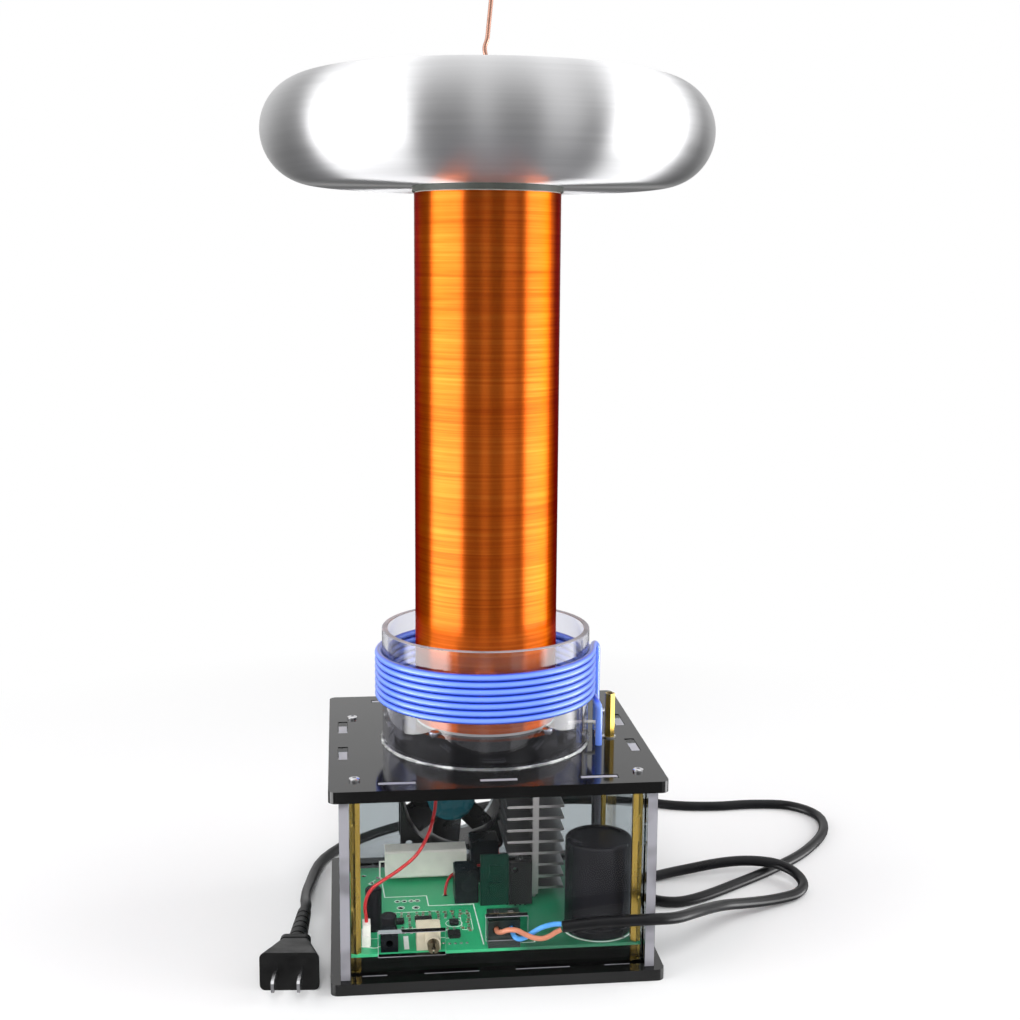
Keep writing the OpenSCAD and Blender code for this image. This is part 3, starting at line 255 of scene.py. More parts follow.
def light_path(mat):
    """What kind of ray is asking."""
    return add_node(mat, "ShaderNodeLightPath").outputs


# %% Patterns
def object_map(mat, scale=(1, 1, 1)):
    """Object coordinates, scaled to stretch a pattern along an axis."""
    coord = add_node(mat, "ShaderNodeTexCoord")
    mapping = add_node(mat, "ShaderNodeMapping", Scale=scale)
    link(mat, coord.outputs["Object"], mapping.inputs["Vector"])
    return mapping.outputs["Vector"]


def split(mat, vector):
    """The X, Y and Z of a vector."""
    node = add_node(mat, "ShaderNodeSeparateXYZ")
    link(mat, vector, node.inputs[0])
    return node.outputs


def noise(mat, scale, detail=4.0, stretch=(1, 1, 1)):
    """Noise on Object coordinates; scale is in waves a metre."""
    texture = add_node(mat, "ShaderNodeTexNoise", Scale=scale, Detail=detail, Roughness=0.55)
    link(mat, object_map(mat, stretch), texture.inputs["Vector"])
    return texture.outputs["Fac"]


def ramp(mat, factor, stops):
    """Colours or greys at given places along a factor, from the lowest place to the highest."""
    node = add_node(mat, "ShaderNodeValToRGB")
    band = node.color_ramp
    while len(band.elements) < len(stops):
        band.elements.new(0.5)
    for element, (place, value) in zip(band.elements, stops):
        element.position = place
        element.color = (value, value, value, 1) if isinstance(value, (int, float)) else (*value, 1)
    link(mat, factor, node.inputs["Fac"])
    return node.outputs["Color"]


def rise(mat, value, low, high):
    """0 up to the low value, 1 from the high value on, and a straight line between."""
    node = add_node(mat, "ShaderNodeMapRange", From_Min=low, From_Max=high)
    link(mat, value, node.inputs["Value"])
    return node.outputs["Result"]


def mix(mat, factor, first, second):
    """Mixes two colours, each a socket or three numbers."""
    node = add_node(mat, "ShaderNodeMix", data_type="RGBA")
    colours = [s for s in node.inputs if s.type == "RGBA"]
    link(mat, factor, node.inputs[0])
    for socket, value in zip(colours, (first, second)):
        if isinstance(value, bpy.types.NodeSocket):
            link(mat, value, socket)
        else:
            socket.default_value = (*value, 1)
    return [s for s in node.outputs if s.type == "RGBA"][0]


def mix_shaders(mat, factor, first, second):
    """Shows the first shader where the factor is 0 and the second where it is 1."""
    node = add_node(mat, "ShaderNodeMixShader")
    for socket, source in zip(node.inputs, (factor, first, second)):
        link(mat, source, socket)
    return node.outputs[0]


def arith(mat, operation, first, second=0.0, third=0.0):
    """One step of arithmetic on sockets or numbers."""
    node = add_node(mat, "ShaderNodeMath", operation=operation)
    for socket, value in zip(node.inputs, (first, second, third)):
        if isinstance(value, bpy.types.NodeSocket):
            link(mat, value, socket)
        else:
            socket.default_value = value
    return node.outputs[0]


def reach(mat, first, second):
    """The distance in a plane: the root of the sum of two squares."""
    square = arith(mat, "MULTIPLY", second, second)
    return arith(mat, "SQRT", arith(mat, "MULTIPLY_ADD", first, first, square))


def bump(mat, height, strength=0.1, distance=0.0002):
    """Turns a height into a bend of the surface's normal."""
    node = add_node(mat, "ShaderNodeBump", Strength=strength, Distance=distance)
    link(mat, height, node.inputs["Height"])
    steer(mat, "Normal", node.outputs["Normal"])


# %% The common finish
def paint(node, material):
    """Gives a carried-over node its finish."""
    data = nodes[node].data
    if not data.materials:
        data.materials.append(material)
    for i in range(len(data.materials)):
        data.materials[i] = material


def worn(name, colour, spread, scale, rough, grain=900.0, strength=0.08, stretch=(1, 1, 1), metal=0.0,
         shine=0.5, on=(), **sockets):
    """Colour that varies by a share, roughness between two values, and a fine grain; on names its nodes."""
    mat = new_finish(name, colour, metal=metal, Specular_IOR_Level=shine, **sockets)
    low = [c * (1 - spread) for c in colour]
    high = [min(1.0, c * (1 + spread)) for c in colour]
    steer(mat, "Base Color", ramp(mat, noise(mat, scale, 4.0, stretch), [(0.3, low), (0.7, high)]))
    wear = noise(mat, scale * 0.6, 6.0, stretch)
    steer(mat, "Roughness", ramp(mat, wear, [(0.3, rough[0]), (0.75, rough[1])]))
    bump(mat, noise(mat, grain, 3.0, stretch), strength)
    for node in on:
        paint(node, mat)
    return mat


# %% [markdown]
# ## The mains lead
# A real lead is a fixed length of round black sheath that lies where it was dropped. The photograph shows all
# of it: out of the terminal block, round to the right, two long loops on the table, behind the box and
# back to the plug on the left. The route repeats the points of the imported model, and a smooth curve through
# them is swept by a circle. Its two cores leave the sheath in front of the block and end under its screws.
# Sheath and cores are soft plastic over copper. The sheath is black with a low sheen and a trace of dust;
# the cores are glossier and coloured, one a pale brown and one a clear blue.

# %% Route of the lead
SHEATH_D, CORE_D = 6.0, 2.6
PLUG_AT, PLUG_TURN, PLUG_MID = (-105.5, -71.5), math.radians(5), 10.0


def along_plug(y):
    """A point at y behind the plug's face, on its middle line."""
    return [PLUG_AT[0] + y * math.sin(PLUG_TURN), PLUG_AT[1] + y * math.cos(PLUG_TURN), PLUG_MID]


LEAD_ROUTE = [
    [31.5, -80, 31.5], [50, -80.8, 33.4], [76, -82.3, 34.4], [91, -76.5, 32], [104, -63, 28],
    [116, -47, 22.5], [129, -31, 16.5], [144, -18, 11], [160, -7, 6.8], [172, 0, 5], [181, 5.5, 4.4],
    [187.3, 12.5, 5], [189.2, 21, 6], [186.6, 30, 7.6], [179.6, 37, 9.2], [170, 40.4, 10],
    [158, 41.8, 10.2], [144, 42.4, 9], [127, 43, 6], [110, 41.2, 3.8], [97, 35.8, 3.1],
    [91.6, 22.8, 3.1], [97, 9.8, 3.1], [110, 4.4, 3.1], [126, 9.5, 3.1], [150, 24.5, 3.1],
    [180, 45.5, 3.1], [206, 68, 3.1], [228, 98, 3.1], [234, 126, 3.1], [221, 146, 3.1],
    [196, 151, 3.1], [170, 150, 3.1], [144, 154, 3.1], [112, 167, 3.1], [66, 174, 3.1],
    [18, 166, 3.1], [-30, 144, 3.1], [-66, 119, 3.1], [-90, 86, 3.1], [-98, 46, 3.8],
    [-99.4, 20, 7.2], along_plug(77), along_plug(68)]
LIVE_ROUTE = [
    [31, -80, 30], [28, -80, 28.6], [25, -80.1, 26.8], [21, -80.3, 25.8], [16.5, -80.3, 26.6],
    [12.3, -79.8, 28.4], [8.5, -78.6, 30], [4.4, -76.6, 29.4], [1.2, -74, 27.2], [-0.3, -68.8, 25.2],
    [-0.3, -61, 25.2]]
NEUTRAL_ROUTE = [
    [31, -80, 33], [28, -79.6, 32.9], [25, -79, 32.2], [20.8, -78, 30.4], [16.8, -76.8, 27.5],
    [13.6, -76.2, 25], [10.4, -75.6, 23.8], [8, -74, 24.4], [7.3, -68.8, 25.2], [7.3, -61, 25.2]]

# %% Mains lead
black_sheath = worn("black_sheath", (0.007, 0.007, 0.008), 0.4, 60, (0.26, 0.42), 700, 0.06, shine=0.24)
brown_core = worn("brown_core", (0.58, 0.22, 0.13), 0.12, 150, (0.25, 0.4), 600)
blue_core = worn("blue_core", (0.09, 0.35, 0.8), 0.12, 150, (0.22, 0.36), 600)
lead_path = blend_route(LEAD_ROUTE, 4)
mains_lead = dress(wire("mains_lead", lead_path, SHEATH_D / 2, 20), black_sheath,
                   "mains_cord")
live_wire = dress(wire("live_wire", blend_route(LIVE_ROUTE, 5), CORE_D / 2), brown_core,
                  "live_core")
neutral_wire = dress(wire("neutral_wire", blend_route(NEUTRAL_ROUTE, 5), CORE_D / 2), blue_core,
                     "neutral_core")
print("lead", round(path_length(lead_path)), "mm")

# %% [markdown]
# ## The toroid
# Two shallow pans of aluminium are spun on a lathe, one over the other, and meet at the widest line. The
# shape is a profile turned about the axis: a flat disc, then a quarter circle, with a wall of real thickness.

# %% Spun pans
TOROID_R, RIM_R, SHEET = 115.5, 26.5, 1.2
TOROID_MID, ROD_HOLE_R = 427.1, 2.15


def pan_profile(side, steps=40):
    """Outer face from the rod to the widest line, then back inside: a flat, then a quarter circle.

    The quarter circle's point at angle u is (c + r cos u, r sin u), with c the flat's edge."""
    u = np.linspace(np.pi / 2, 0, steps)
    flat = TOROID_R - RIM_R
    outer = np.stack([flat + RIM_R * np.cos(u), RIM_R * np.sin(u)], -1)
    inner = np.stack([flat + (RIM_R - SHEET) * np.cos(u), (RIM_R - SHEET) * np.sin(u)], -1)[::-1]
    flats = np.stack([np.linspace(ROD_HOLE_R, flat, 12)[:-1], np.full(11, RIM_R)], -1)
    profile = np.vstack([flats, outer, inner, [[ROD_HOLE_R, RIM_R - SHEET]]])
    profile[:, 1] = TOROID_MID + side * profile[:, 1]
    return profile if side < 0 else profile[::-1]


# %% [markdown]
# Spinning leaves fine grooves that run round the axis. Anisotropy pulls the highlights out across them, and a
# tangent that runs round the axis tells the shader which way the grooves lie. Narrow bands of noise along the
# height stand for the tool's passes; they change roughness a little, so the shine breaks into soft rings.

# %% Spun aluminium
ALUMINIUM = (0.8, 0.8, 0.81)


def grooved_metal(name, colour, rough, **sockets):
    """Bare metal with grooves round the upright axis."""
    mat = new_finish(name, colour, rough, 1.0, Anisotropic=1.0, Anisotropic_Rotation=0.25, **sockets)
    tangent = add_node(mat, "ShaderNodeTangent", direction_type="RADIAL", axis="Z")
    steer(mat, "Tangent", tangent.outputs["Tangent"])
    return mat


def spun_metal():
    """Noise squeezed along the height into rings, with a slow cloud of handling in the roughness."""
    mat = grooved_metal("spun_aluminium", ALUMINIUM, 0.42)
    rings = noise(mat, 420.0, 2.0, (0.02, 0.02, 1.0))
    cloud = arith(mat, "MULTIPLY_ADD", noise(mat, 18.0, 3.0), 0.06, 0.34)
    steer(mat, "Roughness", arith(mat, "MULTIPLY_ADD", rings, 0.10, cloud))
    steer(mat, "Base Color", ramp(mat, rings, [(0.35, [c * 0.93 for c in ALUMINIUM]), (0.65, ALUMINIUM)]))
    bump(mat, rings, 0.05, 0.0001)
    return mat


spun_aluminium = spun_metal()
for name, side, node in (("lower_pan", -1, "toroid_lower"), ("upper_pan", 1, "toroid_upper")):
    pan = lathe(name, pan_profile(side), 256, sharp=math.radians(50))
    dress(pan, spun_aluminium, node)
    print(name, len(pan.data.polygons), "faces")

# %% [markdown]
# ## The secondary winding
# About 1500 turns of varnished copper wire lie side by side on the tall former. One turn is thinner than a
# picture point, so single turns are left to the finish: strong anisotropy across the wire, a varnish coat, and
# noise squeezed into thin level lines for turns that sit a hair proud. The shape is the whole winding, with
# a small step where it starts and ends and rings that swell by hundredths of a millimetre.

# %% Winding on the tall former
COIL_R, COIL_INNER_R, COIL_LOW, COIL_HIGH = 37.97, 37.55, 120.0, 397.1
COPPER, COPPER_DARK, COPPER_LIGHT = (0.8, 0.155, 0.014), (0.64, 0.095, 0.008), (0.9, 0.22, 0.027)


def winding_profile(rows=420):
    """Radius is constant but for the sum of three short waves along the height, each of about 0.01 mm."""
    z = np.linspace(COIL_LOW, COIL_HIGH, rows)
    swell = 0.012 * np.sin(z * 2.31) + 0.01 * np.sin(z * 5.17 + 1.0) + 0.008 * np.sin(z * 0.71 + 2.0)
    ends = [[COIL_INNER_R, COIL_HIGH], [COIL_INNER_R, COIL_LOW]]
    return np.vstack([np.stack([COIL_R + swell, z], -1), ends])


def wound_copper():
    """Copper under varnish: anisotropic across the turns, with level lines of colour and roughness.

    The tint darkens the metal towards the coil's two silhouettes, where it is seen at a glancing angle."""
    mat = grooved_metal("varnished_copper", COPPER, 0.36, Specular_Tint=(0.3, 0.1, 0.03, 1),
                        Coat_Weight=0.05, Coat_Roughness=0.12)
    lines = noise(mat, 900.0, 3.0, (0.012, 0.012, 1.0))
    bands = noise(mat, 60.0, 3.0, (0.1, 0.1, 1.0))
    tone = arith(mat, "MULTIPLY_ADD", lines, 0.65, arith(mat, "MULTIPLY", bands, 0.35))
    steer(mat, "Base Color", ramp(mat, tone, [(0.3, COPPER_DARK), (0.5, COPPER), (0.72, COPPER_LIGHT)]))
    steer(mat, "Roughness", ramp(mat, tone, [(0.3, 0.42), (0.7, 0.33)]))
    bump(mat, lines, 0.25, 0.00006)
    return mat


fine_winding = lathe("fine_winding", winding_profile(), 192)
dress(fine_winding, wound_copper(), "secondary_winding")
print("fine winding", len(fine_winding.data.polygons), "faces")

# %% [markdown]
# ## The primary winding
# One piece of blue insulated wire comes up through the top plate, takes seven turns round the clear tube,
# each a little above the last, and goes down again. The path is worked out as in the imported model: an eased
# tail, the turns, and an eased tail. The wire is round and glossy, so it is swept with enough sides for a
# smooth edge. Its colour is painted light and shade by the way the surface faces: a light blue highlight at
# the middle of each turn, and a deep-blue shade beside its neighbours, where little light comes, as the turns
# lie close.

# %% Blue turns
DECK, LID = 106.6, 100.6
TURNS, PITCH, TURN_R, FIRST_TURN, WIRE_R = 7, 3.75, 58.05, DECK + 24, 1.84
TURN_START, TAIL_OUT, TAIL_ANGLE, TAIL_DROP = -6.5, 4.6, 12.4, 4.5
TURN_POINTS, TAIL_POINTS, FALL_POINTS = 96, 14, 8


def around(radius, degrees, z):
    """Points at a radius and an angle about the upright axis."""
    a = np.radians(degrees)
    return np.stack([radius * np.cos(a), radius * np.sin(a), np.broadcast_to(z, np.shape(a))], -1)


def tail_path(side, z):
    """Eases out to the tail's radius while it drops, with u from 0 to 1, then runs straight to the lid."""
    u = np.linspace(0, 1, TAIL_POINTS)[1:]
    ease = u * u * (3 - 2 * u)
    bend = around(TURN_R + TAIL_OUT * ease, TURN_START + side * TAIL_ANGLE * ease * (2 - ease),
                  z - TAIL_DROP * u ** 3)
    fall = around(TURN_R + TAIL_OUT, np.full(FALL_POINTS, TURN_START + side * TAIL_ANGLE),
                  np.linspace(z - TAIL_DROP, LID, FALL_POINTS + 1)[1:])
    return np.vstack([bend, fall])


def blue_path():
    """A tail up, a helix whose height grows by one pitch a turn, and a tail down."""
    a = np.arange(0, TURN_POINTS * TURNS + 1) / TURN_POINTS
    helix = around(TURN_R, TURN_START + 360 * a, FIRST_TURN + PITCH * a)
    return np.vstack([tail_path(-1, FIRST_TURN)[::-1], helix, tail_path(1, FIRST_TURN + PITCH * TURNS)])


# The blue of the turns is painted light and shade: a painted highlight where the surface faces out, painted
# shade between turns.
def paint_blue_light_and_shade(mat):
    """Painted light and shade by the level share of the normal plus a little of its upward share: light where
    that is 1, deep blue where it is low.
    """
    x, y, z = split(mat, add_node(mat, "ShaderNodeNewGeometry").outputs["Normal"])
    facing = arith(mat, "MULTIPLY_ADD", z, 0.18, reach(mat, x, y))
    steer(mat, "Base Color", ramp(mat, facing, [(0.3, (0.004, 0.015, 0.33)), (0.72, (0.035, 0.11, 0.8)),
                                                (1.0, (0.17, 0.32, 1.0))]))


blue_insulation = worn("blue_insulation", (0.05, 0.15, 0.86), 0.06, 90, (0.3, 0.42), 500, 0.03,
                       Coat_Weight=1.0, Coat_Roughness=0.3)
paint_blue_light_and_shade(blue_insulation)
dress(wire("blue_turns", blue_path(), WIRE_R, 24), blue_insulation, "primary_winding")
print("blue wire", round(path_length(blue_path())), "mm")

# %% [markdown]
# ## Clear pieces
# Tube and walls are cast acrylic. Glass in a path tracer stops the lamp rays that light what is inside, so the
# finish lets shadow rays through and keeps refraction and reflection for everything that is seen. The walls
# are seen at a slant through two faces, and a lower index keeps what stands behind them in its place.

# %% Clear acrylic
TUBE_R, TUBE_WALL, TUBE_H, CHAMFER = 56.0, 3.0, 62.0, 0.35


def clear_acrylic(name, tint, ior):
    """Refracting acrylic whose shadow rays pass straight through, a little tinted."""
    mat = new_finish(name, tint, 0.02, Transmission_Weight=1.0, IOR=ior)
    steer(mat, "Roughness", ramp(mat, noise(mat, 40.0), [(0.4, 0.008), (0.75, 0.04)]))
    clear = add_node(mat, "ShaderNodeBsdfTransparent", Color=(*[0.7 + 0.3 * c for c in tint], 1))
    shadow = light_path(mat)["Is Shadow Ray"]
    surface(mat, mix_shaders(mat, shadow, shader_of(mat).outputs[0], clear.outputs[0]))
    return mat


def clear_ring():
    """The tube's wall: a loop of straight lines with small chamfers at both rims."""
    inner, top, c = TUBE_R - TUBE_WALL, DECK + TUBE_H, CHAMFER
    return [[inner + c, DECK], [TUBE_R - c, DECK], [TUBE_R, DECK + c], [TUBE_R, top - c],
            [TUBE_R - c, top], [inner + c, top], [inner, top - c], [inner, DECK + c]]


clear_wall = clear_acrylic("clear_wall", (0.38, 0.42, 0.44), 1.3)
for node in ("left_wall", "right_wall", "back_panel"):
    paint(node, clear_wall)
paint("front_panel", clear_acrylic("clear_front", (0.98, 0.985, 0.985), 1.18))
tube_wall = lathe("tube_wall", clear_ring(), 256, sharp=math.radians(20))
dress(tube_wall, clear_acrylic("clear_tube", (0.84, 0.84, 0.9), 1.49), "primary_former")
print("tube", TUBE_R * 2, "by", TUBE_H, "mm")

# %% [markdown]
# Sawn edges of acrylic scatter light, so they look pale beside the clear faces. The tube's rims take a frosted
# finish by the height of their faces, and the front edges of the two side walls get a thin frosted skin. Thin
# pale lines on the rims of the front panel's windows and along the foot of that panel are painted highlights,
# where those edges catch the light.

# %% Sawn edges
SAWN, SAWN_DARK = (0.42, 0.415, 0.46), (0.24, 0.235, 0.26)
sawn_edge = new_finish("sawn_edge", SAWN, 0.45, Transmission_Weight=0.25, IOR=1.49)
steer(sawn_edge, "Base Color", ramp(sawn_edge, noise(sawn_edge, 26.0, 2.0, (1, 1, 1.6)),
                                    [(0.36, SAWN_DARK), (0.5, SAWN)]))
bump(sawn_edge, noise(sawn_edge, 900.0, 4.0, (1, 1, 0.1)), 0.2)
tube_wall.data.materials.append(sawn_edge)
levels = np.array([face.center.z for face in tube_wall.data.polygons]) / MM - DECK
rims = (levels > TUBE_H - 0.4) | (levels < 0.4)
tube_wall.data.polygons.foreach_set("material_index", rims.astype(np.int32))
print("frosted faces of the tube", int(rims.sum()))

# %% Skins and painted highlight lines on the walls
WALL_FRONT_Y, WALL_T, WALL_LOW, WALL_HIGH = -76.5, 5.0, 6.2, 100.4
PANEL_Y, FOOT_Y, FOOT_Z = -72.5, -72.7, 6.15


def edge_skin(name, x_low):
    """A skin 0.12 mm thick over a wall's upright edge: a front line with a slight crown, and a flat back."""
    u = np.linspace(0, 1, 5)
    x = x_low + 0.1 + (WALL_T - 0.2) * u
    front = np.stack([x, WALL_FRONT_Y - 0.12 + 0.05 * (2 * u - 1) ** 2], -1)
    ring = np.vstack([front, np.stack([x, np.full(5, WALL_FRONT_Y)], -1)[::-1]])
    rows = [np.column_stack([ring, np.full(10, z)]) for z in np.linspace(WALL_LOW, WALL_HIGH, 3)]
    return add_grid(name, np.stack(rows) * MM)


def window_rim(left, right, low, high):
    """A thin line round the rim of a window, from its lower left corner back to it."""
    return [(x, PANEL_Y, z) for x, z in ((left, low), (right, low), (right, high), (left, high), (left, low))]


for name, x in (("left_sawn_edge", -80.0), ("right_sawn_edge", 75.0)):
    dress(edge_skin(name, x), sawn_edge)
# Thin pale lines painted as highlights on the window rims and along the panel's foot.
painted_glint_lines = [window_rim(-61.0, -26.9, 15.7, 28.4), window_rim(-6.5, 15.0, 22.0, 34.7)]
painted_glint_lines += [[(a, FOOT_Y, FOOT_Z), (b, FOOT_Y, FOOT_Z)] for a, b in
               ((-69, -56.6), (-37.7, -9.9), (9, 36.8), (55, 68))]
window_glints = merge("window_glints", [wire(f"edge_{i}", path, 0.17, 8) for i, path in enumerate(painted_glint_lines)])
dress(window_glints, sawn_edge)

# %% [markdown]
# ## Finishes of the rigid pieces
# Each carried-over solid keeps its mesh and gets the finish of what it is made of. Plates are polished black
# acrylic, posts are turned brass, screws are plated steel, and so on down to the parts on the board.

# %% Sheet and metal
worn("black_sheet", (0.006, 0.006, 0.006), 0.3, 30, (0.05, 0.12), 300, 0.01, shine=0.36,
     on=("base_plate", "top_plate", "coil_base_disc", "coil_collar"))
worn("brass", (0.4, 0.27, 0.06), 0.14, 220, (0.18, 0.34), 1500, 0.06, (1, 1, 0.3), 1.0,
     on=("foot_standoffs", "lower_standoffs", "middle_standoffs", "top_standoffs", "ground_post"))
worn("plated_steel", (0.72, 0.72, 0.74), 0.1, 300, (0.16, 0.3), 1200, 0.05, metal=1.0,
     on=("round_screws", "base_screws", "fan_screws", "terminal_screws", "hex_nuts", "toroid_rod",
         "plug_blades"))
tinned = worn("tinned", (0.7, 0.7, 0.69), 0.1, 300, (0.25, 0.45), metal=1.0, on=("ground_lug",))
worn("shaft_metal", (0.2, 0.17, 0.11), 0.2, 200, (0.3, 0.45), 900, 0.06, metal=1.0, on=("pot_shaft",))
worn("extruded", (0.4, 0.385, 0.385), 0.08, 90, (0.3, 0.46), 1400, 0.12, (1, 1, 0.02), 1.0, on=("heat_sink",))

# %% Moulded and wound parts
red_wire = worn("red_wire", (0.42, 0.013, 0.016), 0.15, 200, (0.25, 0.4), 700, on=("sense_lead", "fan_lead"))
white_plastic = worn("white_plastic", (0.78, 0.77, 0.72), 0.06, 160, (0.35, 0.5),
                     on=("lead_connector", "resistor_leads"))
worn("can_sleeve", (0.008, 0.008, 0.01), 0.3, 60, (0.2, 0.3), 300, 0.03, shine=0.12,
     on=("storage_capacitor", "small_capacitors"))
worn("white_cement", (0.94, 0.9, 0.82), 0.06, 160, (0.55, 0.8), 900, 0.25, on=("cement_resistor",))
worn("black_epoxy", (0.01, 0.01, 0.011), 0.25, 200, (0.35, 0.55), 1500, 0.12, shine=0.3,
     on=("power_transistors", "rectifier", "control_chips"))
worn("relay_case", (0.006, 0.008, 0.01), 0.3, 120, (0.2, 0.34), 700, 0.05, shine=0.2,
     on=("relay", "film_capacitor", "audio_jack"))
worn("green_tape", (0.006, 0.06, 0.04), 0.2, 120, (0.3, 0.5), 700, 0.1, shine=0.25, on=("gate_transformer",))
worn("green_block", (0.006, 0.013, 0.011), 0.15, 160, (0.3, 0.45), on=("terminal_block",))
worn("beige_plastic", (0.55, 0.5, 0.38), 0.1, 160, (0.4, 0.6), 900, 0.12, on=("potentiometer_body",))
worn("grey_plastic", (0.07, 0.08, 0.07), 0.15, 120, (0.4, 0.55), on=("coil_top_cap",))
worn("pipe_plastic", (0.75, 0.73, 0.66), 0.06, 120, (0.35, 0.5), on=("secondary_former", "toroid_spacer"))
worn("plug_black", (0.008, 0.008, 0.008), 0.35, 150, (0.32, 0.5), 1100, 0.12, shine=0.18, on=("plug_body",))
worn("dark_board", (0.003, 0.03, 0.02), 0.2, 120, (0.3, 0.45), shine=0.2, on=("driver_board",))
worn("lead_sleeve", (0.05, 0.05, 0.06), 0.2, 160, (0.4, 0.55), 900, 0.1, (1, 1, 0.2), on=("primary_leads",))
worn("fan_black", (0.009, 0.009, 0.01), 0.3, 120, (0.25, 0.4), 800, 0.08, shine=0.3, on=("fan_frame",))

# %% [markdown]
# Two finishes change over a piece. The board's green deepens from the control corner to the power side: that
# is painted shade for the shade of tall parts there, and the real board is one green. The fan's hub carries a
# blue-green sticker on its black moulding. Both are worked out from Object coordinates, so they ride with the
# piece.

# %% Board and fan
# The second green is painted shade on the power side of the board.
BOARD_GREEN, PAINTED_SHADE_GREEN, HUB_BLUE = (0.018, 0.36, 0.15), (0.008, 0.13, 0.06), (0.01, 0.13, 0.17)
SHADE_FROM, SHADE_TO = 0.0067, 0.0183
FAN_X, FAN_Z, HUB_R = -0.015, 0.054, 0.0142


def paint_board_shade(mat):
    """Painted shade: green that deepens along X between two places, with an edge that noise moves by
    millimetres.
    """
    along = arith(mat, "MULTIPLY_ADD", noise(mat, 70.0), 0.005, split(mat, object_map(mat))["X"])
    steer(mat, "Base Color", mix(mat, rise(mat, along, SHADE_FROM, SHADE_TO), BOARD_GREEN, PAINTED_SHADE_GREEN))


def dye_hub(mat):
    """Blue-green where the distance from the fan's axis, square to it, is under the hub's radius."""
    x, _, z = split(mat, object_map(mat))
    distance = reach(mat, arith(mat, "SUBTRACT", x, FAN_X), arith(mat, "SUBTRACT", z, FAN_Z))
    black = shader_of(mat).inputs["Base Color"].links[0].from_socket
    steer(mat, "Base Color", mix(mat, arith(mat, "LESS_THAN", distance, HUB_R), black, HUB_BLUE))


paint_board_shade(worn("board_resist", BOARD_GREEN, 0.12, 70, (0.28, 0.42), 900, 0.05, Coat_Weight=0.12,
                 on=("circuit_board",)))
dye_hub(worn("fan_blades", (0.014, 0.014, 0.015), 0.3, 120, (0.22, 0.36), 800, 0.05, on=("fan_rotor",)))
print("finishes", len(bpy.data.materials))

# %% [markdown]
# ## The short wires
# The winding's lower end leaves the tube through a hole and is soldered by hand to a lug under the brass post.
# That wire is thick with solder, so its radius swells and shrinks along the path. A red wire runs from its
# connector on the board up to the top plate, another from the board to the fan, and a length of bare copper
# stands on the toroid's rod as the point that breaks out. Each is a smooth sweep along a route.

# %% Short wires
GROUND_ROUTE = [[44, -8, 115.6], [50, -8, 115.7], [56, -8, 115.6], [58.4, -8, 115.4], [60.1, -8, 114.2],
                [60.6, -8, 112], [60.55, -8, 109.8], [60.55, -8, 107.6]]
SENSE_ROUTE = [
    [-66.5, -54, 27], [-66.8, -54.2, 31], [-67.2, -54.4, 35], [-66.2, -54, 40.6], [-63, -53, 45],
    [-58, -51.6, 48], [-49, -48, 52.3], [-40, -44.5, 58.6], [-33.4, -38, 67.3], [-30, -31.6, 76.4],
    [-28.8, -27, 86], [-28.5, -24.8, 94], [-28.5, -24.5, 100], [-28.5, -24.5, 106.6]]
FAN_ROUTE = [
    [-22.1, -0.3, 15.6], [-21.8, 0.4, 19.4], [-20, 3, 23.4], [-16.4, 5.6, 25.8], [-9, 8.4, 27.6], [0, 10, 28],
    [8, 10.8, 27.4], [12.6, 14.4, 26.4], [13.6, 21, 25.2], [13.8, 29, 23.4], [13.4, 36, 21.4],
    [12.4, 41.6, 20.2], [12, 44.3, 21.6], [12, 44.5, 24]]
BREAKOUT_ROUTE = [
    [0, 0, 458.6], [-0.4, -0.2, 462], [-1.4, -0.6, 465.6], [-1.9, -0.4, 469.6], [-0.6, -0.1, 474],
    [0.1, 0, 480.6], [0.9, 0.1, 488.6], [1.7, 0.1, 496.6], [2.6, 0, 504.6]]
ground_path = blend_route(GROUND_ROUTE, 8)
share = np.linspace(0, 1, len(ground_path))
soldered = 0.95 + np.where(share > 0.42, 0.45 * np.abs(np.sin(share * 21.0)) + 0.15 * np.sin(share * 57.0), 0)
dress(wire("ground_wire", ground_path, soldered, 16), white_plastic, "ground_lead")
bare_copper = worn("bare_copper", (0.6, 0.33, 0.25), 0.15, 200, (0.2, 0.34), metal=1.0)
for name, route, radius, node, material, slot in (
        ("sense_wire", SENSE_ROUTE, 0.9, "sense_lead", red_wire, "red_wire"),
        ("fan_wire", FAN_ROUTE, 0.8, "fan_lead", red_wire, "red_wire"),
        ("breakout_point", BREAKOUT_ROUTE, 1.15, "breakout_wire", bare_copper, "enamelled_copper")):
    path = blend_route(route, 6)
    dress(wire(name, path, radius), material, node)
    print(name, round(path_length(path), 1), "mm")

# %% [markdown]
# ## The bead of glue
# The clear tube is held to the plate by a bead squeezed from a nozzle by hand, so it is thick in places and
# nearly gone in others. A ring is swept round the tube's foot, and its width and height follow sums of sines
# of the angle, which close on themselves after one turn.

# %% Glue bead
BEAD_R, BEAD_Z = 56.03, 106.62
LUMPS = ((0.2, 7, 0.4), (0.16, 13, 2.0), (0.14, 31, 1.0), (0.13, 57, 3.0), (0.1, 91, 0.2), (0.08, 133, 5.0))


def bead_grid(steps=720, sides=10):
    """Half-round section at angle a: its width and height are about 1 mm times a lumpy share of a."""
    a = np.linspace(0, 2 * np.pi, steps, endpoint=False)
    lump = sum(k * np.sin(n * a + p) for k, n, p in LUMPS)
    size = 1.0 + 0.85 * np.clip(lump, -0.8, 1)
    u = np.linspace(0, 1, sides) * np.pi / 2
    r = np.hstack([BEAD_R + size[:, None] * np.cos(u)[None], np.full((steps, 1), BEAD_R)])
    z = np.hstack([BEAD_Z + 0.9 * size[:, None] * np.sin(u)[None], np.full((steps, 1), BEAD_Z)])
    return np.stack([r * np.cos(a)[:, None], r * np.sin(a)[:, None], z], -1)


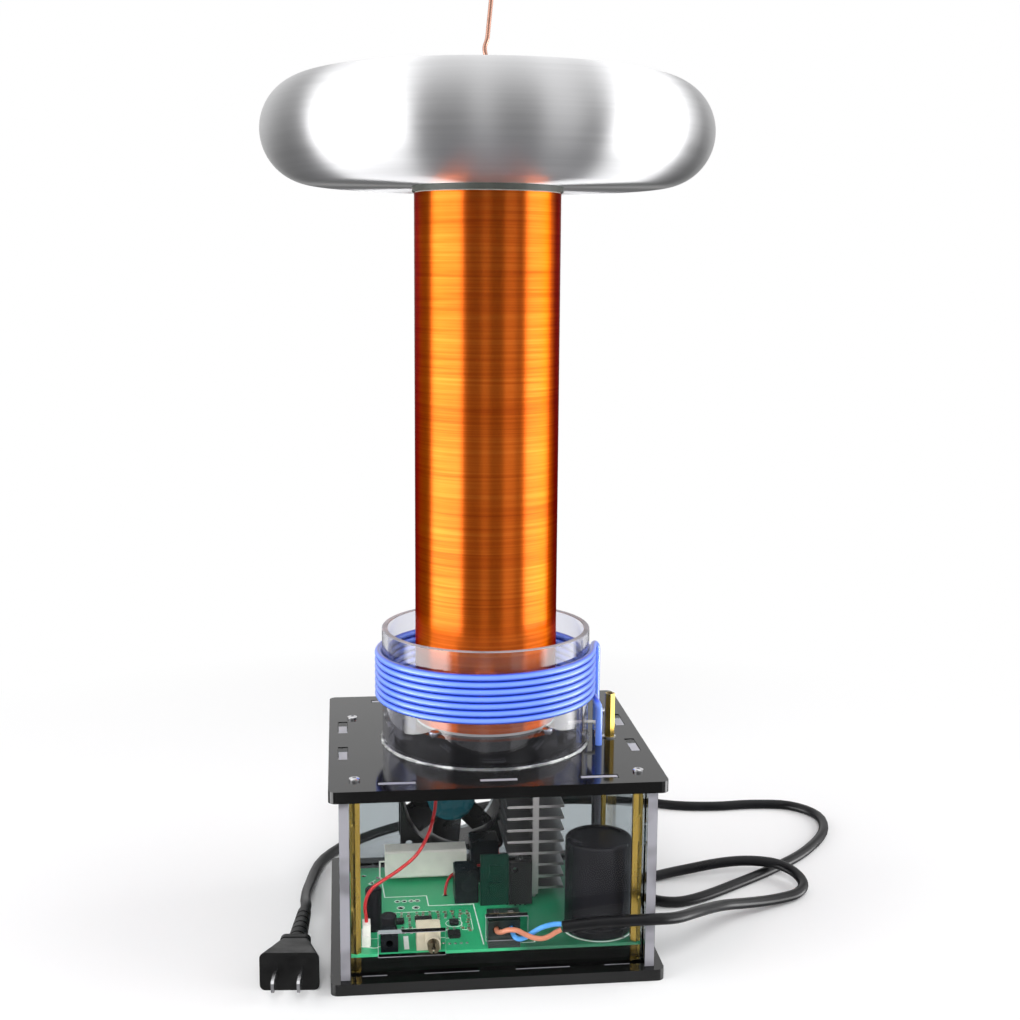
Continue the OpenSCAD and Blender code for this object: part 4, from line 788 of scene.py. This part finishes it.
glue_ring = add_grid("glue_ring", bead_grid()[:, ::-1] * MM, math.radians(60), loop=True)
glue = new_finish("glue", (0.8, 0.81, 0.8), 0.3, Transmission_Weight=0.85, IOR=1.33)
steer(glue, "Transmission Weight", ramp(glue, noise(glue, 110.0, 5.0), [(0.5, 1.0), (0.62, 0.15)]))
bump(glue, noise(glue, 500.0), 0.5, 0.0004)
dress(glue_ring, glue, "glue_bead")
print("glue", len(glue_ring.data.polygons), "faces")

# %% [markdown]
# ## Small blocks and strips
# Chip parts, pads and ink lines are tiny, so each has only a few faces: a block is four rings of eight points
# with its edges cut back, and a strip is a flat ribbon that follows a path with mitred corners.

# %% Blocks, strips and domes
def block(centre, size, cut):
    """A block whose edges are cut back, from four level rings of eight points (mm)."""
    (x, y, z), (w, d, h) = centre, np.asarray(size) / 2

    def ring(half_w, half_d, level):
        corners = [(half_w, -half_d + cut), (half_w, half_d - cut), (half_w - cut, half_d),
                   (-half_w + cut, half_d), (-half_w, half_d - cut), (-half_w, -half_d + cut),
                   (-half_w + cut, -half_d), (half_w - cut, -half_d)]
        return [(x + px, y + py, level) for px, py in corners]
    return np.asarray([ring(w - cut, d - cut, z - h), ring(w, d, z - h + cut), ring(w, d, z + h - cut),
                       ring(w - cut, d - cut, z + h)]) * MM


def strip(path, width, low, high):
    """A flat ribbon along a path in the plane; at a corner its edge moves by the mitre of both normals."""
    p = np.asarray(path, float)
    t = np.diff(p, axis=0)
    t /= np.linalg.norm(t, axis=1, keepdims=True)
    n = np.stack([-t[:, 1], t[:, 0]], -1)
    first, last = np.vstack([n[:1], n]), np.vstack([n, n[-1:]])
    mitre = (first + last) / (1 + (first * last).sum(1, keepdims=True))
    out, into = p + mitre * width / 2, p - mitre * width / 2
    rows = [np.column_stack([side, np.full(len(p), z)]) for side, z in
            ((out, low), (into, low), (into, high), (out, high))]
    return np.stack(rows, 1) * MM


def many(name, shape, rows):
    """One mesh of many blocks or strips; each row holds what the shape asks for."""
    return merge(name, [add_grid(f"{name}_{i}", shape(*row)) for i, row in enumerate(rows)])


def domes(name, places):
    """Solder joints: bells of height h times (1 - u squared) to the power 1.5, of radius r, at x, y, z."""
    u = np.linspace(1, 0, 5)
    pieces = []
    for i, (x, y, z, r, h) in enumerate(places):
        profile = np.stack([r * u, z + h * (1 - u ** 2) ** 1.5], -1)
        profile[-1, 0] = 0.02 * r
        pieces.append(lathe(f"{name}_{i}", profile, 12, (x, y), loop=False))
    return merge(name, pieces)


# %% [markdown]
# The panels' tabs end just under the plate's face. Pale strips a little above the tabs are painted highlights
# where their sawn ends catch the light: thin lines at the front, and about half of each slot at the sides, as
# the photograph has it. A thin brown bar along the top of the terminal block is a block of the same kind.

# %% Painted glints on the tab ends, and the terminal block's bar
TAB_LOW, TAB_HIGH = 106.3, 106.36
# Pale strips painted as highlights where the tabs' sawn ends catch the light.
tab_glint_rows = [([(x - 9.3, y + 0.7), (x + 9.3, y + 0.7)], 2.8, TAB_LOW, TAB_HIGH) for x in (-51, 0, 51)
            for y in (-70, 70)]
tab_glint_rows += [([(x, y - 9.8), (x, y + 2.5)], 4.4, TAB_LOW, TAB_HIGH) for x in (-77.5, 77.5) for y in (-22, 22)]
dress(many("tab_end_glints", strip, tab_glint_rows), sawn_edge)
cap_strip = worn("cap_strip", (0.3, 0.22, 0.1), 0.15, 200, (0.3, 0.45))
terminal_cap = many("terminal_cap", block, [((3.5, -65.6, 33.15), (16.2, 2.6, 0.6), 0.2)])
dress(terminal_cap, cap_strip)
print("tab ends", len(tab_glint_rows))

# %% [markdown]
# ## The board's face
# Ink outlines part the control corner from the power side, and rows of chip parts, pads and joints fill the
# corner. The ink carries no words here: where a maker would print some, the board is left bare.

# %% Ink
BOARD_TOP, INK = 15.6, 0.07


def arc(x, y, radius, start, end, steps):
    """Points of an arc about x, y between two angles."""
    return [(x + radius * math.cos(a), y + radius * math.sin(a)) for a in np.linspace(start, end, steps)]


ink_rows = [
    ([(-56.4, 18.6), (-55.5, -0.1), (-32.5, -0.1), (-32.1, -13.1), (-7.6, -13.3), (-6.6, -62)], 0.55),
    ([(-60.5, 15), (-64, 19), (-60, 24)], 0.5), ([(-66, 8), (-62, 14), (-58.5, 19)], 0.6),
    ([(-70, -58), (-63, -60.5), (-57, -60)], 0.6), ([(-46.2, -49.5), (-46.2, -64.5)], 2.6),
    ([(-33.5, -44), (-24, -44), (-24, -53), (-33.5, -53), (-33.5, -44)], 0.35),
    ([(-56, -20), (-28, -20)], 0.3), ([(-52, -40), (-30, -40), (-30, -47)], 0.3),
    ([(-16, -24), (-10.5, -24), (-10.5, -44), (-16, -44), (-16, -24)], 0.3),
    ([(-66, -38), (-60.5, -38), (-60.5, -50), (-66, -50)], 0.35),
    ([(13, -62), (20, -62), (20, -57)], 0.4), ([(-5, -62.5), (12.3, -62.5), (12.3, -53.5)], 0.5),
    ([(-6, 13), (11, 13), (11, 34), (-6, 34)], 0.35),
    (arc(55.4, -46.2, 18.9, -2.9, -0.25, 40), 0.9)]
ink_rows += [(arc(x, y, radius, 0, 2 * math.pi, 15), 0.35) for x, y, radius in
             ((-48.8, -6, 1.5), (-45, -6, 1.5), (-41.2, -6, 1.5), (-37.9, -6, 1.5), (-47.3, -14.3, 2.0),
              (-39, -14.6, 2.0), (-20, -36, 4.4))]
board_ink = many("board_ink", strip, [(path, width, BOARD_TOP, BOARD_TOP + INK) for path, width in ink_rows])
dress(board_ink, worn("white_ink", (0.85, 0.87, 0.84), 0.08, 300, (0.45, 0.6), 1200))
print("ink lines", len(ink_rows))

# %% Chip parts
CHIP_MID, END_OUT = BOARD_TOP + 0.34, 0.85
rng = np.random.default_rng(7)
corner = [(x, y) for x in np.arange(-55, -10, 3.9) for y in np.arange(-46, -20, 3.4)]
busy = [(-50, -32, 7.5, 4), (-36, -31, 9, 4), (-20, -36, 5, 4), (-21, -50, 6.5, 6)]
free = [(x, y) for x, y in corner
        if all(abs(x - bx) > bw / 2 + 2.4 or abs(y - by) > bd / 2 + 1.9 for bx, by, bw, bd in busy)]
chip_rows, end_rows = [], []
for x, y in free:
    x, y = x + rng.uniform(-0.5, 0.5), y + rng.uniform(-0.4, 0.4)
    flat = rng.random() < 0.5
    chip_rows.append(((x, y, CHIP_MID), (1.5, 1.25, 0.55) if flat else (1.25, 1.5, 0.55), 0.08))
    for out in (-END_OUT, END_OUT):
        place, size = ((x + out, y), (0.45, 1.35, 0.62)) if flat else ((x, y + out), (1.35, 0.45, 0.62))
        end_rows.append(((*place, CHIP_MID), size, 0.1))
chip_ceramic = worn("chip_ceramic", (0.16, 0.11, 0.07), 0.8, 260, (0.35, 0.5))
dress(many("chip_parts", block, chip_rows), chip_ceramic)
dress(many("chip_ends", block, end_rows), tinned)

# %% Solder joints
pads = [(x, -6, 1.15, 0.45) for x in (-48.8, -45, -41.2, -37.9)]
pads += [(-47.3, -14.3, 1.6, 0.6), (-39, -14.6, 1.6, 0.6), (-22.1, -0.3, 1.5, 0.9), (-57.5, 26, 1.7, 0.8),
         (-66.5, 30, 1.4, 0.5), (-62, 20, 1.3, 0.6), (-58.7, 27, 1.2, 0.6), (66, -61, 1.3, 0.6),
         (-70.5, -50, 1.0, 0.6), (-55.5, -49, 1.1, 0.6)]
pads += [(x, -59.5, 0.9, 0.6) for x in (-27, -24, -21, -18, -15)]
solder = domes("solder_joints", [(x, y, BOARD_TOP, radius, height) for x, y, radius, height in pads])
dress(solder, worn("bright_solder", (0.82, 0.82, 0.8), 0.08, 400, (0.12, 0.25), metal=1.0))

# %% [markdown]
# ## Floor, lamps and surroundings
# The floor is plain and pale and only carries the shadow. Two tall softboxes stand at the sides, as two
# windows would, and a third fills in from above the front. Metal mirrors what stands round it, so it doesn't
# see the lamps or the white floor far off: it sees a room of bright and dark bands. The low bands are strong
# and make the stripes on the coil, and the bands above them are soft and make the sheen of the toroid. A dim
# ground lies below and a bright ceiling above. The camera, and what is seen through clear pieces, see white.

# %% Floor
FLOOR_HALF = 14.0
FADE_FROM, FADE_TO = 0.24, 0.6
OPEN_FROM, OPEN_TO = 0.1, 0.15


def pale_floor():
    """Diffuse near the object, so it keeps the shadow, fading to white; metal sees the room beyond it."""
    mat = new_finish("pale_floor", (0.92, 0.92, 0.92), 0.6, Specular_IOR_Level=0.0)
    x, y, _ = split(mat, object_map(mat))
    distance = reach(mat, x, y)
    white = add_node(mat, "ShaderNodeEmission", Color=(1, 1, 1, 1), Strength=1.0)
    fade, opening = rise(mat, distance, FADE_FROM, FADE_TO), rise(mat, distance, OPEN_FROM, OPEN_TO)
    seen = mix_shaders(mat, fade, shader_of(mat).outputs[0], white.outputs[0])
    open_part = add_node(mat, "ShaderNodeBsdfTransparent")
    mirrored = arith(mat, "MULTIPLY", light_path(mat)["Is Glossy Ray"], opening)
    surface(mat, mix_shaders(mat, mirrored, seen, open_part.outputs[0]))
    return mat


CORNERS = ((-1, -1), (1, -1), (1, 1), (-1, 1))
floor = add_mesh("floor", [(x * FLOOR_HALF, y * FLOOR_HALF, 0) for x, y in CORNERS], [[0, 1, 2, 3]])
floor.data.materials.append(pale_floor())


# %% Lamps
def softbox(name, azimuth, distance, width, height, middle, power):
    """A soft lamp at an azimuth about the object, in degrees from +X, facing it; metal doesn't mirror it."""
    data = bpy.data.lights.new(name, "AREA")
    data.shape, data.size, data.size_y, data.energy = "RECTANGLE", width, height, power
    lamp = bpy.data.objects.new(name, data)
    a = math.radians(azimuth)
    lamp.location = (distance * math.cos(a), distance * math.sin(a), middle)
    to_object = Vector((0, 0, middle * 0.6)) - lamp.location
    lamp.rotation_euler = to_object.to_track_quat("-Z", "Y").to_euler()
    lamp.visible_glossy = False
    bpy.context.scene.collection.objects.link(lamp)


softbox("left_window", -167.7, 1.3, 1.35, 1.5, 0.55, 18.0)
softbox("right_window", -5.7, 1.3, 1.35, 1.5, 0.55, 18.0)
softbox("front_fill", -97.0, 2.2, 1.3, 0.9, 2.0, 42.0)
print("lamps", len(bpy.data.lights))

# %% Surroundings
LOW_BANDS = ((-180, 0.12), (-154, 0.12), (-108, 0.06), (-98, 9.0), (-50, 9.0), (-42, 0.1), (-14, 0.08),
             (-10, 0.6), (-3, 0.5), (1, 0.07), (20, 0.08), (24, 0.95), (38, 0.8), (43, 0.1), (55, 0.12),
             (63, 8.4), (104, 8.4), (114, 0.06), (156, 0.12), (180, 0.12))
HIGH_BANDS = ((-180, 0.95), (-150, 0.85), (-124, 0.45), (-112, 0.5), (-100, 1.7), (-48, 1.6), (-40, 0.42),
              (-18, 0.36), (-12, 0.85), (-4, 0.75), (1, 0.36), (19, 0.38), (25, 1.1), (42, 1.0), (47, 0.5),
              (57, 0.52), (64, 1.6), (118, 1.6), (128, 0.4), (150, 0.8), (180, 0.95))
GROUND, CEILING, FILL, WHITE = (0.3, 0.3, 0.31), (1.3, 1.3, 1.3), (0.42, 0.42, 0.43), (1, 1, 1)
GROUND_LINE, STOREY_LINE, CEILING_LINE = (-0.56, -0.3), (-0.14, 0.0), (0.68, 0.88)


def bands(room, bearing, levels):
    """Greys round the horizon; each azimuth is in degrees to the right of the camera's side."""
    return ramp(room, bearing, [(0.5 + azimuth / 360, level) for azimuth, level in levels])


def light_room(room):
    """White to the camera and through clear pieces, the banded room to metal, and a soft grey to the rest.

    The bearing is the arc tangent of X over -Y as a share of a turn, and Z parts the storeys of the room."""
    room.node_tree.nodes.clear()
    x, y, z = split(room, add_node(room, "ShaderNodeTexCoord").outputs["Generated"])
    bearing = rise(room, arith(room, "ARCTAN2", x, arith(room, "MULTIPLY", y, -1.0)), -math.pi, math.pi)
    horizon = mix(room, rise(room, z, *STOREY_LINE), bands(room, bearing, LOW_BANDS),
                  bands(room, bearing, HIGH_BANDS))
    above_ground = mix(room, rise(room, z, *GROUND_LINE), GROUND, horizon)
    mirrored = mix(room, rise(room, z, *CEILING_LINE), above_ground, CEILING)
    rays = light_path(room)
    seen = arith(room, "MAXIMUM", rays["Is Camera Ray"], rays["Is Transmission Ray"])
    lit = mix(room, seen, mix(room, rays["Is Glossy Ray"], FILL, mirrored), WHITE)
    back = add_node(room, "ShaderNodeBackground")
    link(room, lit, back.inputs["Color"])
    link(room, back.outputs[0], add_node(room, "ShaderNodeOutputWorld").inputs["Surface"])


world = bpy.data.worlds.new("room")
bpy.context.scene.world = world
world.use_nodes = True
light_room(world)
bpy.context.scene.view_settings.view_transform = "Standard"
